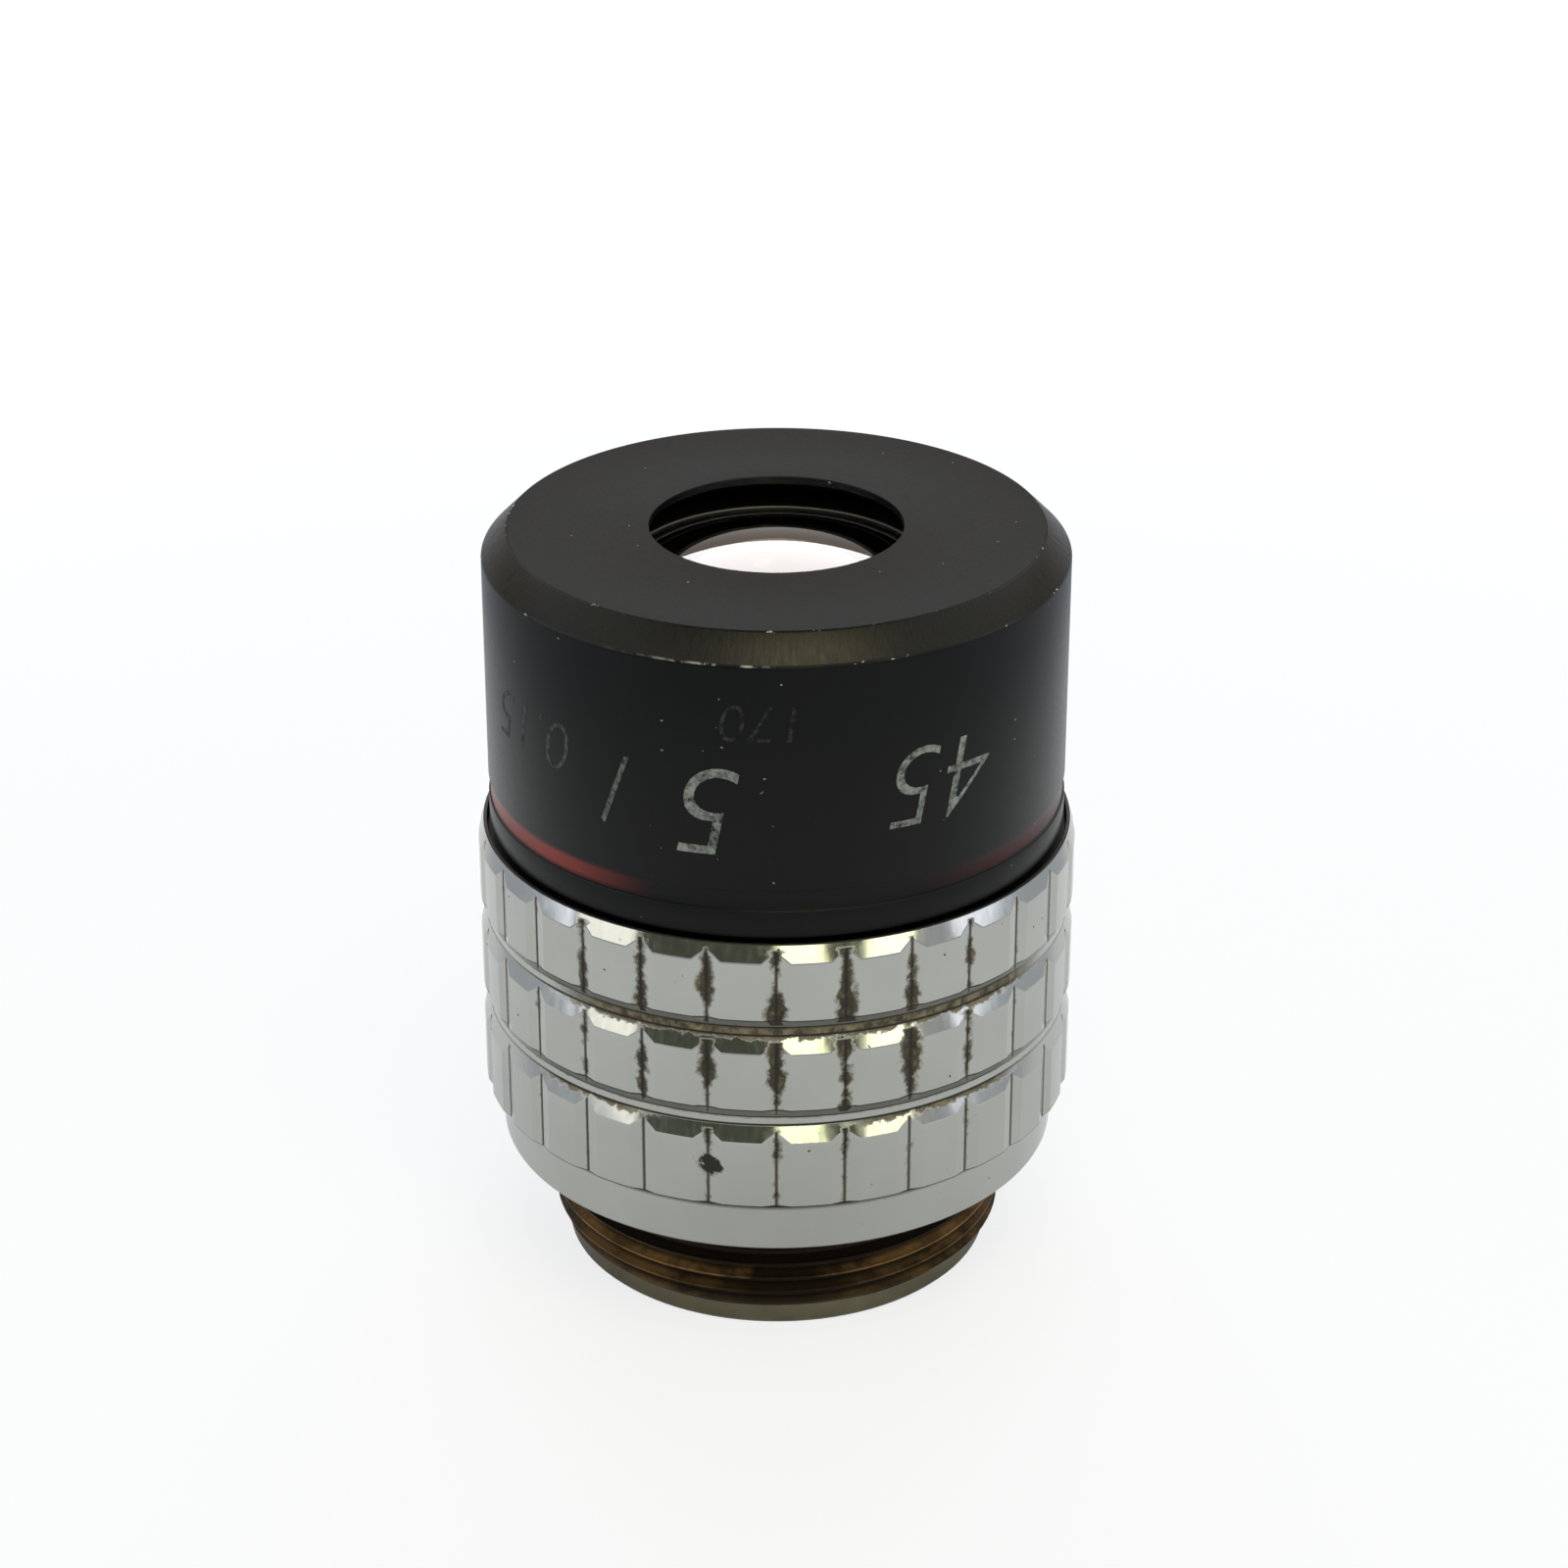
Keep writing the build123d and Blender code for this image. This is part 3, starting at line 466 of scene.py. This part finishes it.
# Bare turned brass of the shim: clean yellow metal with a soft turned sheen
def turnedBrass():
    look, tree, surface = newLook("turnedBrass")
    spot = addNode(tree, "TexCoord", out="Object")
    sheen = addNode(tree, "TexNoise", {"Vector": spot, "Scale": 1 / (0.8 * mm), "Detail": 4})
    colour = addNode(tree, "Mix", {0: sheen, 6: linear("#a98a4e"), 7: linear("#c7a867")}, out=2, data_type="RGBA")
    roughness = addNode(tree, "MapRange", {"Value": sheen, "To Min": 0.22, "To Max": 0.38})
    shader = addNode(tree, "BsdfPrincipled", {"Base Color": colour, "Metallic": 1.0, "Roughness": roughness})
    tree.links.new(shader, surface)
    return look


# Bare metal on the sleeve's two bevel edges: tiny knocked specks, and a rubbed broken line at the left front
noseWear = {  # radius and height of each edge in mm, degrees round from the front
    "lowerEdge": (12.62, 33.23), "upperEdge": (11.54, 34.31), "lineStart": (-34, -8), "lineEnd": (0, -3),
    "bevelRadius": 12.1, "shadeFoot": (33.16, 33.2), "shadeHead": (33.22, 33.19),
}


def bareEdges(tree, spot, out, up, turn):
    specks = addNode(tree, "TexNoise", {"Vector": spot, "Scale": 1 / (0.30 * mm), "Detail": 2})
    sparse = addNode(tree, "TexNoise", {"Vector": spot, "Scale": 1 / (2.1 * mm), "Detail": 2})
    lower = edgeAway(tree, out, up, noseWear["lowerEdge"])
    upper = edgeAway(tree, out, up, noseWear["upperEdge"])
    nearest = addNode(tree, "Math", {0: lower, 1: upper}, operation="MINIMUM")
    onEdge = addNode(tree, "MapRange", {"Value": nearest, "From Min": 0.2, "From Max": 0.04})
    knocked = addNode(tree, "Math", {0: specks, 1: sparse}, operation="MULTIPLY")
    knockedEdge = addNode(tree, "Math", {0: knocked, 1: onEdge}, operation="MULTIPLY")
    dots = addNode(tree, "MapRange", {"Value": knockedEdge, "From Min": 0.38, "From Max": 0.42})
    broken = addNode(tree, "TexNoise", {"Vector": spot, "Scale": 1 / (1.3 * mm), "Detail": 4, "Roughness": 0.6})
    kept = addNode(tree, "MapRange", {"Value": broken, "From Min": 0.47, "From Max": 0.55})
    start = addNode(tree, "MapRange", {"Value": turn, "From Min": noseWear["lineStart"][0],
                                       "From Max": noseWear["lineStart"][1]})
    end = addNode(tree, "MapRange", {"Value": turn, "From Min": noseWear["lineEnd"][0],
                                     "From Max": noseWear["lineEnd"][1]})
    stretch = addNode(tree, "Math", {0: start, 1: end}, operation="MULTIPLY")
    thinLine = addNode(tree, "MapRange", {"Value": lower, "From Min": 0.06, "From Max": 0.03})
    brokenStretch = addNode(tree, "Math", {0: kept, 1: stretch}, operation="MULTIPLY")
    rubbedAndHighlit = addNode(tree, "Math", {0: brokenStretch, 1: thinLine}, operation="MULTIPLY")
    return addNode(tree, "Math", {0: dots, 1: rubbedAndHighlit}, operation="MAXIMUM")


# Matt black anodised aluminium: dark and even, silvery at grazing angles, a red ring in its groove, full at the left,
# absent in front and dull at the right
redRing = {  # radii and heights in mm, degrees round: full at the left, absent in front, dull at the right
    "groove": (12.61, 12.58), "foot": (22.24, 22.46), "head": (23.14, 22.92),
    "left": (-22, -50), "right": (24, 62), "back": (-178, -120), "dull": 0.22,
}


def blackAnodised(name, ior, smooth, matt):
    look, tree, surface = newLook(name)
    spot, out, up, turn = turnedPlaces(tree)
    blast = addNode(tree, "TexNoise", {"Vector": spot, "Scale": 1 / (0.16 * mm), "Detail": 3, "Roughness": 0.6})
    cloud = addNode(tree, "TexNoise", {"Vector": spot, "Scale": 1 / (6 * mm), "Detail": 3})
    black = addNode(tree, "Mix", {0: cloud, 6: linear("#070708"), 7: linear("#0d0d0e")}, out=2, data_type="RGBA")
    # a ragged darker line just under the bevel
    fray = addNode(tree, "TexNoise", {"Vector": spot, "Scale": 1 / (0.7 * mm), "Detail": 4})
    frayed = addNode(tree, "Math", {0: fray, 1: 0.22}, operation="MULTIPLY")
    under = addNode(tree, "Math", {0: frayed, 1: up}, operation="ADD")
    lineFoot = addNode(tree, "MapRange", {"Value": under, "From Min": noseWear["shadeFoot"][0],
                                          "From Max": noseWear["shadeFoot"][1]})
    lineHead = addNode(tree, "MapRange", {"Value": up, "From Min": noseWear["shadeHead"][0],
                                          "From Max": noseWear["shadeHead"][1]})
    shadeLine = addNode(tree, "Math", {0: lineFoot, 1: lineHead}, operation="MULTIPLY")
    edged = addNode(tree, "Mix", {0: shadeLine, 6: black, 7: linear("#050505")}, out=2, data_type="RGBA")
    # where the red ring shows, and how strongly
    inGroove = addNode(tree, "MapRange", {"Value": out, "From Min": redRing["groove"][0],
                                          "From Max": redRing["groove"][1]})
    bandFoot = addNode(tree, "MapRange", {"Value": up, "From Min": redRing["foot"][0], "From Max": redRing["foot"][1]})
    bandHead = addNode(tree, "MapRange", {"Value": up, "From Min": redRing["head"][0], "From Max": redRing["head"][1]})
    bandSpan = addNode(tree, "Math", {0: bandFoot, 1: bandHead}, operation="MULTIPLY")
    leftShows = addNode(tree, "MapRange", {"Value": turn, "From Min": redRing["left"][0],
                                          "From Max": redRing["left"][1]}, interpolation_type="SMOOTHSTEP")
    rightShows = addNode(tree, "MapRange", {"Value": turn, "From Min": redRing["right"][0],
                                           "From Max": redRing["right"][1], "To Max": redRing["dull"]},
                        interpolation_type="SMOOTHSTEP")
    backFade = addNode(tree, "MapRange", {"Value": turn, "From Min": redRing["back"][0],
                                          "From Max": redRing["back"][1], "To Min": redRing["dull"]},
                       interpolation_type="SMOOTHSTEP")
    leftRing = addNode(tree, "Math", {0: leftShows, 1: backFade}, operation="MULTIPLY")
    kept = addNode(tree, "Math", {0: leftRing, 1: rightShows}, operation="MAXIMUM")
    band = addNode(tree, "Math", {0: inGroove, 1: bandSpan}, operation="MULTIPLY")
    redShare = addNode(tree, "Math", {0: band, 1: kept}, operation="MULTIPLY")
    red = addNode(tree, "Mix", {0: cloud, 6: linear("#6c2724"), 7: linear("#873a34")}, out=2, data_type="RGBA")
    painted = addNode(tree, "Mix", {0: redShare, 6: edged, 7: red}, out=2, data_type="RGBA")
    dustSpot = addNode(tree, "TexNoise", {"Vector": spot, "Scale": 1 / (0.22 * mm), "Detail": 0})
    dust = addNode(tree, "MapRange", {"Value": dustSpot, "From Min": 0.885, "From Max": 0.90, "To Max": 0.6})
    specked = addNode(tree, "Math", {0: bareEdges(tree, spot, out, up, turn), 1: dust}, operation="MAXIMUM")
    colour = addNode(tree, "Mix", {0: specked, 6: painted, 7: linear("#a2a29e")}, out=2, data_type="RGBA")
    roughness = addNode(tree, "MapRange", {"Value": blast, "To Min": smooth, "To Max": matt})
    relief = addNode(tree, "Bump", {"Height": blast, "Distance": 0.004 * mm, "Strength": 0.5})
    shader = addNode(tree, "BsdfPrincipled", {"Base Color": colour, "Roughness": roughness, "IOR": ior,
                                              "Normal": relief})
    tree.links.new(shader, surface)
    return look


# The sleeve's bevel, brushed after it was turned: a mottled olive sheen where a lamp catches it
def brushedAnodised():
    look, tree, surface = newLook("brushedBlackAnodised")
    spot, out, up, turn = turnedPlaces(tree)
    arc = math.radians(noseWear["bevelRadius"])  # mm round the bevel for each degree
    along = addNode(tree, "Math", {0: turn, 1: arc}, operation="MULTIPLY")
    drawnOut = addNode(tree, "Math", {0: up, 1: 0.3}, operation="MULTIPLY")
    strokeSpot = addNode(tree, "CombineXYZ", {0: along, 1: drawnOut})
    strokes = addNode(tree, "TexNoise", {"Vector": strokeSpot, "Scale": 1 / 0.16, "Detail": 5, "Roughness": 0.7})
    black = addNode(tree, "Mix", {0: strokes, 6: linear("#10100f"), 7: linear("#1f1f1b")}, out=2, data_type="RGBA")
    bare = bareEdges(tree, spot, out, up, turn)
    colour = addNode(tree, "Mix", {0: bare, 6: black, 7: linear("#a2a29e")}, out=2, data_type="RGBA")
    roughness = addNode(tree, "MapRange", {"Value": strokes, "From Min": 0.3, "From Max": 0.7,
                                           "To Min": 0.20, "To Max": 0.42})
    relief = addNode(tree, "Bump", {"Height": strokes, "Distance": 0.02 * mm, "Strength": 0.5})
    shader = addNode(tree, "BsdfPrincipled", {"Base Color": colour, "Roughness": roughness, "IOR": 1.26,
                                              "Normal": relief})
    tree.links.new(shader, surface)
    return look


# Polished optical glass: clear and mirror-smooth; the coat on the front lens throws back a faint pink
def opticalGlass(name, ior, coat):
    look, tree, surface = newLook(name)
    spot = addNode(tree, "TexCoord", out="Object")
    dust = addNode(tree, "TexNoise", {"Vector": spot, "Scale": 1 / (0.5 * mm), "Detail": 4})
    haze = addNode(tree, "MapRange", {"Value": dust, "From Min": 0.6, "From Max": 0.8, "To Min": 0.0, "To Max": 0.05})
    shader = addNode(tree, "BsdfPrincipled", {"Base Color": linear("#fbf8f6"), "Roughness": haze, "IOR": ior,
                                              "Specular Tint": linear("#fff8f8"), "Transmission Weight": 1.0,
                                              "Coat Weight": coat, "Coat IOR": 2.0, "Coat Roughness": 0.0})
    tree.links.new(shader, surface)
    return look


# White wax filling in engraved figures: chalky, rubbed thin so that the black shows through it
def wornFilling(name, keep, tone):
    look, tree, surface = newLook(name)
    spot = addNode(tree, "TexCoord", out="Object")
    rubbedAndHighlit = addNode(tree, "TexNoise", {"Vector": spot, "Scale": 1 / (0.35 * mm), "Detail": 6, "Roughness": 0.75})
    left = addNode(tree, "MapRange", {"Value": rubbedAndHighlit, "From Min": keep + 0.12, "From Max": keep - 0.12})
    colour = addNode(tree, "Mix", {0: left, 6: linear("#0f0f10"), 7: linear(tone)}, out=2, data_type="RGBA")
    roughness = addNode(tree, "MapRange", {"Value": left, "To Min": 0.42, "To Max": 0.8})
    shader = addNode(tree, "BsdfPrincipled", {"Base Color": colour, "Roughness": roughness, "IOR": 1.2})
    tree.links.new(shader, surface)
    return look


chromeLook = satinChrome()
brassLook = brownedBrass()
rimLook = dullNickel()
blackBrassLook = blackenedBrass()
shimLook = turnedBrass()
sleeveLook = blackAnodised("blackAnodisedAluminium", 1.25, 0.24, 0.38)
faceLook = blackAnodised("blastedBlackAnodised", 1.14, 0.30, 0.46)  # the front face, blasted and duller than the side
bevelLook = brushedAnodised()
frontGlassLook = opticalGlass("coatedOpticalGlass", 1.8, 1.0)
innerGlassLook = opticalGlass("plainOpticalGlass", 1.52, 0.0)
print("materials:", len(bpy.data.materials))


def finishPiece(bm, name, looks, stands=(), sharpFrom=30):
    mesh = bpy.data.meshes.new(name)
    bm.to_mesh(mesh)
    bm.free()
    for look in looks:
        mesh.materials.append(look)
    for own in ("custom_normal", "sharp_edge"):  # a copied solid brings its own shading
        if own in mesh.attributes:
            mesh.attributes.remove(mesh.attributes[own])
    mesh.shade_smooth()
    mesh.set_sharp_from_angle(angle=math.radians(sharpFrom))
    piece = bpy.data.objects.new(name, mesh)
    bpy.context.scene.collection.objects.link(piece)
    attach(piece, "root")
    if stands:
        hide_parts(*stands)


def turnProfile(piece):  # spins a closed outline of (radius, height, rounding), its corners rounded first
    bm = bmesh.new()
    corners = [bm.verts.new((r * mm, 0, z * mm)) for r, z, rounding in piece["outline"]]
    bm.faces.new(corners)
    rounds = [rounding for r, z, rounding in piece["outline"]]
    for size in sorted(set(rounds) - {0}):
        picked = [v for v, rounding in zip(corners, rounds) if rounding == size]
        bmesh.ops.bevel(bm, geom=picked, offset=size * mm, affect="VERTICES", segments=3, profile=0.5, material=-1)
    bmesh.ops.delete(bm, geom=bm.faces[:], context="FACES_ONLY")
    bmesh.ops.spin(bm, geom=bm.verts[:] + bm.edges[:], cent=(0, 0, 0), axis=(0, 0, 1), angle=2 * math.pi,
                   steps=piece["steps"], use_merge=True)
    bmesh.ops.remove_doubles(bm, verts=bm.verts[:], dist=weld)
    bmesh.ops.recalc_face_normals(bm, faces=bm.faces[:])
    return bm


# Front sleeve: spigot in the body, tube with the ring groove, bevelled nose and the front opening
sleeve = {
    "outline": [
        (10.9, 16.57, 0), (11.9, 16.57, 0), (11.9, 20.97, 0), (12.64, 20.97, 0.05), (12.64, 22.24, 0.06),
        (12.56, 22.24, 0.02), (12.56, 23.14, 0.02), (12.64, 23.14, 0.06), (12.64, 33.23, 0.09), (11.54, 34.33, 0.09),
        (5.45, 34.33, 0.05), (5.45, 33.98, 0.03), (7.0, 33.13, 0), (10.9, 33.13, 0),
    ],
    "steps": 192, "bevelSum": 12.64 + 33.23, "bevelNear": 0.02, "bevelFrom": 33.24, "faceFrom": 34.3,
}
bm = turnProfile(sleeve)
for f in bm.faces:
    middle = f.calc_center_median()
    offBevel = abs(middle.xy.length + middle.z - sleeve["bevelSum"] * mm)  # radius and height add up the same on it
    if offBevel < sleeve["bevelNear"] * mm and middle.z > sleeve["bevelFrom"] * mm:
        f.material_index = 1
    elif f.normal.z > 0.9 and middle.z > sleeve["faceFrom"] * mm:
        f.material_index = 2
finishPiece(bm, "frontSleeve", [sleeveLook, bevelLook, faceLook], ["front_sleeve"], sharpFrom=40)
print("sleeve turned")

# Front cell: the thin lip that shows round the front lens
frontCell = {
    "outline": [
        (7.55, 29.3175, 0), (8.85, 29.3175, 0), (8.85, 30.5175, 0), (7.63, 30.5175, 0), (7.63, 32.55, 0.06),
        (6.37, 32.55, 0.05), (6.37, 32.3, 0.03), (7.03, 32.3, 0), (7.03, 30.1175, 0), (7.55, 30.1175, 0),
    ],
    "steps": 128,
}
bm = turnProfile(frontCell)
finishPiece(bm, "frontCell", [blackBrassLook], ["front_cell"], sharpFrom=40)

# Lenses: half width, then height on the axis and radius of each face; a plus curve has its centre above
lenses = {
    "frontLens": {"node": "front_lens", "half": 7.0, "back": (31.2805, -22.001), "front": (33.6025, -16.002)},
    "doubletCrown": {"node": "doublet_crown", "half": 6.2, "back": (25.5817, 13.516), "front": (29.1774, -16.492)},
    "doubletFlint": {"node": "doublet_flint", "half": 6.2, "back": (24.1717, 45.694), "front": (25.5717, 13.516)},
    "middleLens": {"node": "middle_lens", "half": 5.2, "back": (18.9011, -17.992), "front": (20.1011, 14.976)},
    "rearCrown": {"node": "rear_crown", "half": 6.3, "back": (10.2491, 9.639), "front": (14.8541, -14.49)},
    "rearFlint": {"node": "rear_flint", "half": 6.3, "back": (8.9391, 34.02), "front": (10.2391, 9.639)},
}
lensFacets = {"across": 20, "around": 128}
for name, lens in lenses.items():
    bm = bmesh.new()
    rims = []
    for height, curve in (lens["back"], lens["front"]):
        top = bm.verts.new((0, 0, height * mm))
        swing = math.asin(lens["half"] / abs(curve))
        spun = bmesh.ops.spin(bm, geom=[top], cent=(0, 0, (height + curve) * mm), axis=(0, 1, 0),
                              angle=math.copysign(swing, -curve), steps=lensFacets["across"])
        rims.append(next(g for g in spun["geom_last"] if isinstance(g, bmesh.types.BMVert)))
    bm.edges.new(rims)
    bmesh.ops.spin(bm, geom=bm.verts[:] + bm.edges[:], cent=(0, 0, 0), axis=(0, 0, 1), angle=2 * math.pi,
                   steps=lensFacets["around"], use_merge=True)
    bmesh.ops.remove_doubles(bm, verts=bm.verts[:], dist=weld)
    bmesh.ops.recalc_face_normals(bm, faces=bm.faces[:])
    glassLook = frontGlassLook if name == "frontLens" else innerGlassLook
    finishPiece(bm, name, [glassLook], [lens["node"]], sharpFrom=25)
print("lenses:", len(lenses))

# Body: the solid's own knurl and collar with broken edges; under the thread it is turned down to the thread's root
body = {
    "padEdge": 0.035, "edgeFrom": 9.0, "edgeOut": 12.3,  # edges broken: how wide, from what angle and radius
    "threadFoot": 1.0, "threadTop": 4.9, "root": 9.70, "near": 0.005,
    "boreOut": 10.95, "boreUp": 7.2,  # blackened inside
    "seatUp": 16.0, "seatOut": 12.7, "mouthUp": 20.7, "mouthOut": 13.1,  # blackened faces under the sleeve
    "rimUp": 1.0, "rimOut": 8.39, "brassUp": 5.76, "brassOut": 10.52,  # the nickel rim and the bare brass above it
}
bm = bmesh.new()
bm.from_mesh(frame["nodes"]["grip_body"].data)
bmesh.ops.remove_doubles(bm, verts=bm.verts[:], dist=1e-6)
bmesh.ops.dissolve_limit(bm, angle_limit=math.radians(0.5), verts=bm.verts[:], edges=bm.edges[:])
for v in bm.verts:
    inThread = body["threadFoot"] * mm < v.co.z < body["threadTop"] * mm + body["near"] * mm
    if inThread and v.co.xy.length > body["root"] * mm:
        v.co.xy *= body["root"] * mm / v.co.xy.length
bmesh.ops.recalc_face_normals(bm, faces=bm.faces[:])
edges = [e for e in bm.edges if e.is_manifold and e.calc_face_angle() > math.radians(body["edgeFrom"])
         and all(v.co.xy.length > body["edgeOut"] * mm for v in e.verts)]
bmesh.ops.bevel(bm, geom=edges, offset=body["padEdge"] * mm, affect="EDGES", segments=1, profile=0.5, material=-1,
                clamp_overlap=True)
bmesh.ops.recalc_face_normals(bm, faces=bm.faces[:])
for f in bm.faces:
    middle = f.calc_center_median()
    r, z = middle.xy.length / mm, middle.z / mm
    facesIn = f.normal.xy.dot(middle.xy) < -0.2 * middle.xy.length
    inBore = r < body["boreOut"] and z > body["boreUp"]
    seatOut = body["mouthOut"] if z > body["mouthUp"] else body["seatOut"]
    onSeat = r < seatOut and z > body["seatUp"] and abs(f.normal.z) > 0.5
    if facesIn or inBore or onSeat:
        f.material_index = 3
    elif z < body["rimUp"] and r > body["rimOut"]:
        f.material_index = 2
    elif z < body["brassUp"] and r < body["brassOut"]:
        f.material_index = 1
print("body:", len(bm.faces), "faces,", sum(1 for e in bm.edges if not e.is_manifold), "open edges")
bodyLooks = [chromeLook, brassLook, rimLook, blackBrassLook]
finishPiece(bm, "gripBody", bodyLooks, ["grip_body"], sharpFrom=5)

# Mount thread: one right-hand ridge of the 55 degree form, spun up the body and cut flat at both ends
thread = {  # radii, pitch and widths in mm
    "crest": 10.135, "flank": 9.60, "base": 9.45, "pitch": 0.7056, "crestFlat": 0.10, "flankWide": 0.653,
    "baseWide": 0.30, "pilot": 9.62, "start": -0.953, "turns": 10, "steps": 96,
}
bm = bmesh.new()
centre = thread["start"] + thread["pitch"] / 2
form = [(thread["base"], -thread["baseWide"]), (thread["flank"], -thread["flankWide"]),
        (thread["crest"], -thread["crestFlat"]), (thread["crest"], thread["crestFlat"]),
        (thread["flank"], thread["flankWide"]), (thread["base"], thread["baseWide"])]
bm.faces.new([bm.verts.new((r * mm, 0, (centre + wide / 2) * mm)) for r, wide in form])
bmesh.ops.spin(bm, geom=bm.faces[:], cent=(0, 0, 0), axis=(0, 0, 1),
               dvec=(0, 0, thread["pitch"] * mm / thread["steps"]), angle=2 * math.pi * thread["turns"],
               steps=thread["steps"] * thread["turns"])
for height, side in ((body["threadFoot"], "clear_inner"), (body["threadTop"], "clear_outer")):
    bmesh.ops.bisect_plane(bm, geom=bm.verts[:] + bm.edges[:] + bm.faces[:], plane_co=(0, 0, height * mm),
                           plane_no=(0, 0, 1), **{side: True})
caps = bmesh.ops.holes_fill(bm, edges=[e for e in bm.edges if e.is_boundary])["faces"]
bmesh.ops.triangulate(bm, faces=caps)  # a long crescent at each end
for v in bm.verts:  # lead-in at 45 degrees, from the pilot radius
    limit = thread["pilot"] * mm + max(0.0, v.co.z - body["threadFoot"] * mm)
    if v.co.xy.length > limit:
        v.co.xy *= limit / v.co.xy.length
bmesh.ops.recalc_face_normals(bm, faces=bm.faces[:])
print("thread:", len(bm.faces), "faces,", sum(1 for e in bm.edges if not e.is_manifold), "open edges")
finishPiece(bm, "mountThread", [brassLook], sharpFrom=25)

# Plain figures on the sleeve, upside down as the part stands, slanted, rubbed thin
figures = {
    "figureLarge": {"text": "5", "tall": 4.1, "turn": -11.5, "up": 26.9, "slant": 0.2, "thin": 0.07, "keep": 0.53,
                    "tone": "#858b8b"},
    "figureStroke": {"text": "/", "tall": 3.3, "turn": -31, "up": 27.1, "slant": 0.1, "thin": 0.045, "keep": 0.50,
                     "tone": "#737878"},
    "figureSmall": {"text": "0.15", "tall": 2.3, "turn": -54, "up": 28.1, "slant": 0.2, "thin": 0.055, "keep": 0.50,
                    "tone": "#585c5b"},
    "figureRight": {"text": "45", "tall": 3.7, "turn": 34, "up": 27.5, "slant": 0.2, "thin": 0.09, "keep": 0.54,
                    "tone": "#858b8b"},
    "figureFaint": {"text": "170", "tall": 1.7, "turn": -2, "up": 30.8, "slant": 0.15, "thin": 0.035, "keep": 0.44,
                    "tone": "#3d3f40"},
}
figureSkin = {"radius": 12.647, "slice": 0.3, "thick": 0.02, "capShare": 0.7, "curveSteps": 6}
for name, mark in figures.items():
    words = bpy.data.curves.new(name, "FONT")
    words.body = mark["text"]
    words.size = mark["tall"] * mm / figureSkin["capShare"]
    words.shear = mark["slant"]
    words.offset = -mark["thin"] * mm
    words.align_x = "CENTER"
    words.align_y = "CENTER"
    words.resolution_u = figureSkin["curveSteps"]
    holder = bpy.data.objects.new(name + "Text", words)
    bpy.context.scene.collection.objects.link(holder)
    bpy.context.view_layer.update()
    flatMesh = bpy.data.meshes.new_from_object(holder.evaluated_get(bpy.context.evaluated_depsgraph_get()))
    bpy.data.objects.remove(holder)
    bm = bmesh.new()
    bm.from_mesh(flatMesh)
    bpy.data.meshes.remove(flatMesh)
    bmesh.ops.remove_doubles(bm, verts=bm.verts[:], dist=1e-7)
    reach = max(abs(v.co.x) for v in bm.verts)
    for i in range(int(2 * reach / mm / figureSkin["slice"]) + 1):
        bmesh.ops.bisect_plane(bm, geom=bm.verts[:] + bm.edges[:] + bm.faces[:],
                               plane_co=(-reach + i * figureSkin["slice"] * mm, 0, 0), plane_no=(1, 0, 0))
    bmesh.ops.dissolve_degenerate(bm, edges=bm.edges[:], dist=1e-6)
    foot = (figureSkin["radius"] - figureSkin["thick"]) * mm
    for v in bm.verts:  # turned upside down and laid round the sleeve
        a = math.radians(mark["turn"]) - v.co.x / (figureSkin["radius"] * mm)
        z = mark["up"] * mm - v.co.y
        v.co = (foot * math.sin(a), -foot * math.cos(a), z)
    bmesh.ops.recalc_face_normals(bm, faces=bm.faces[:])
    inward = [f for f in bm.faces if f.normal.xy.dot(f.calc_center_median().xy) < 0]
    bmesh.ops.reverse_faces(bm, faces=inward)
    for grown in bmesh.ops.extrude_face_region(bm, geom=bm.faces[:], use_keep_orig=True)["geom"]:
        if isinstance(grown, bmesh.types.BMVert):
            grown.co.xy *= figureSkin["radius"] * mm / foot
    finishPiece(bm, name, [wornFilling(name + "Filling", mark["keep"], mark["tone"])])
print("figures:", len(figures))

# The pieces inside keep their solids and take their real finish
innerLooks = {"parfocal_shim": shimLook}
for name, node in frame["nodes"].items():
    if not node.hide_render:
        node.data.materials.clear()
        node.data.materials.append(innerLooks.get(name, blackBrassLook))
print("inner pieces dressed")
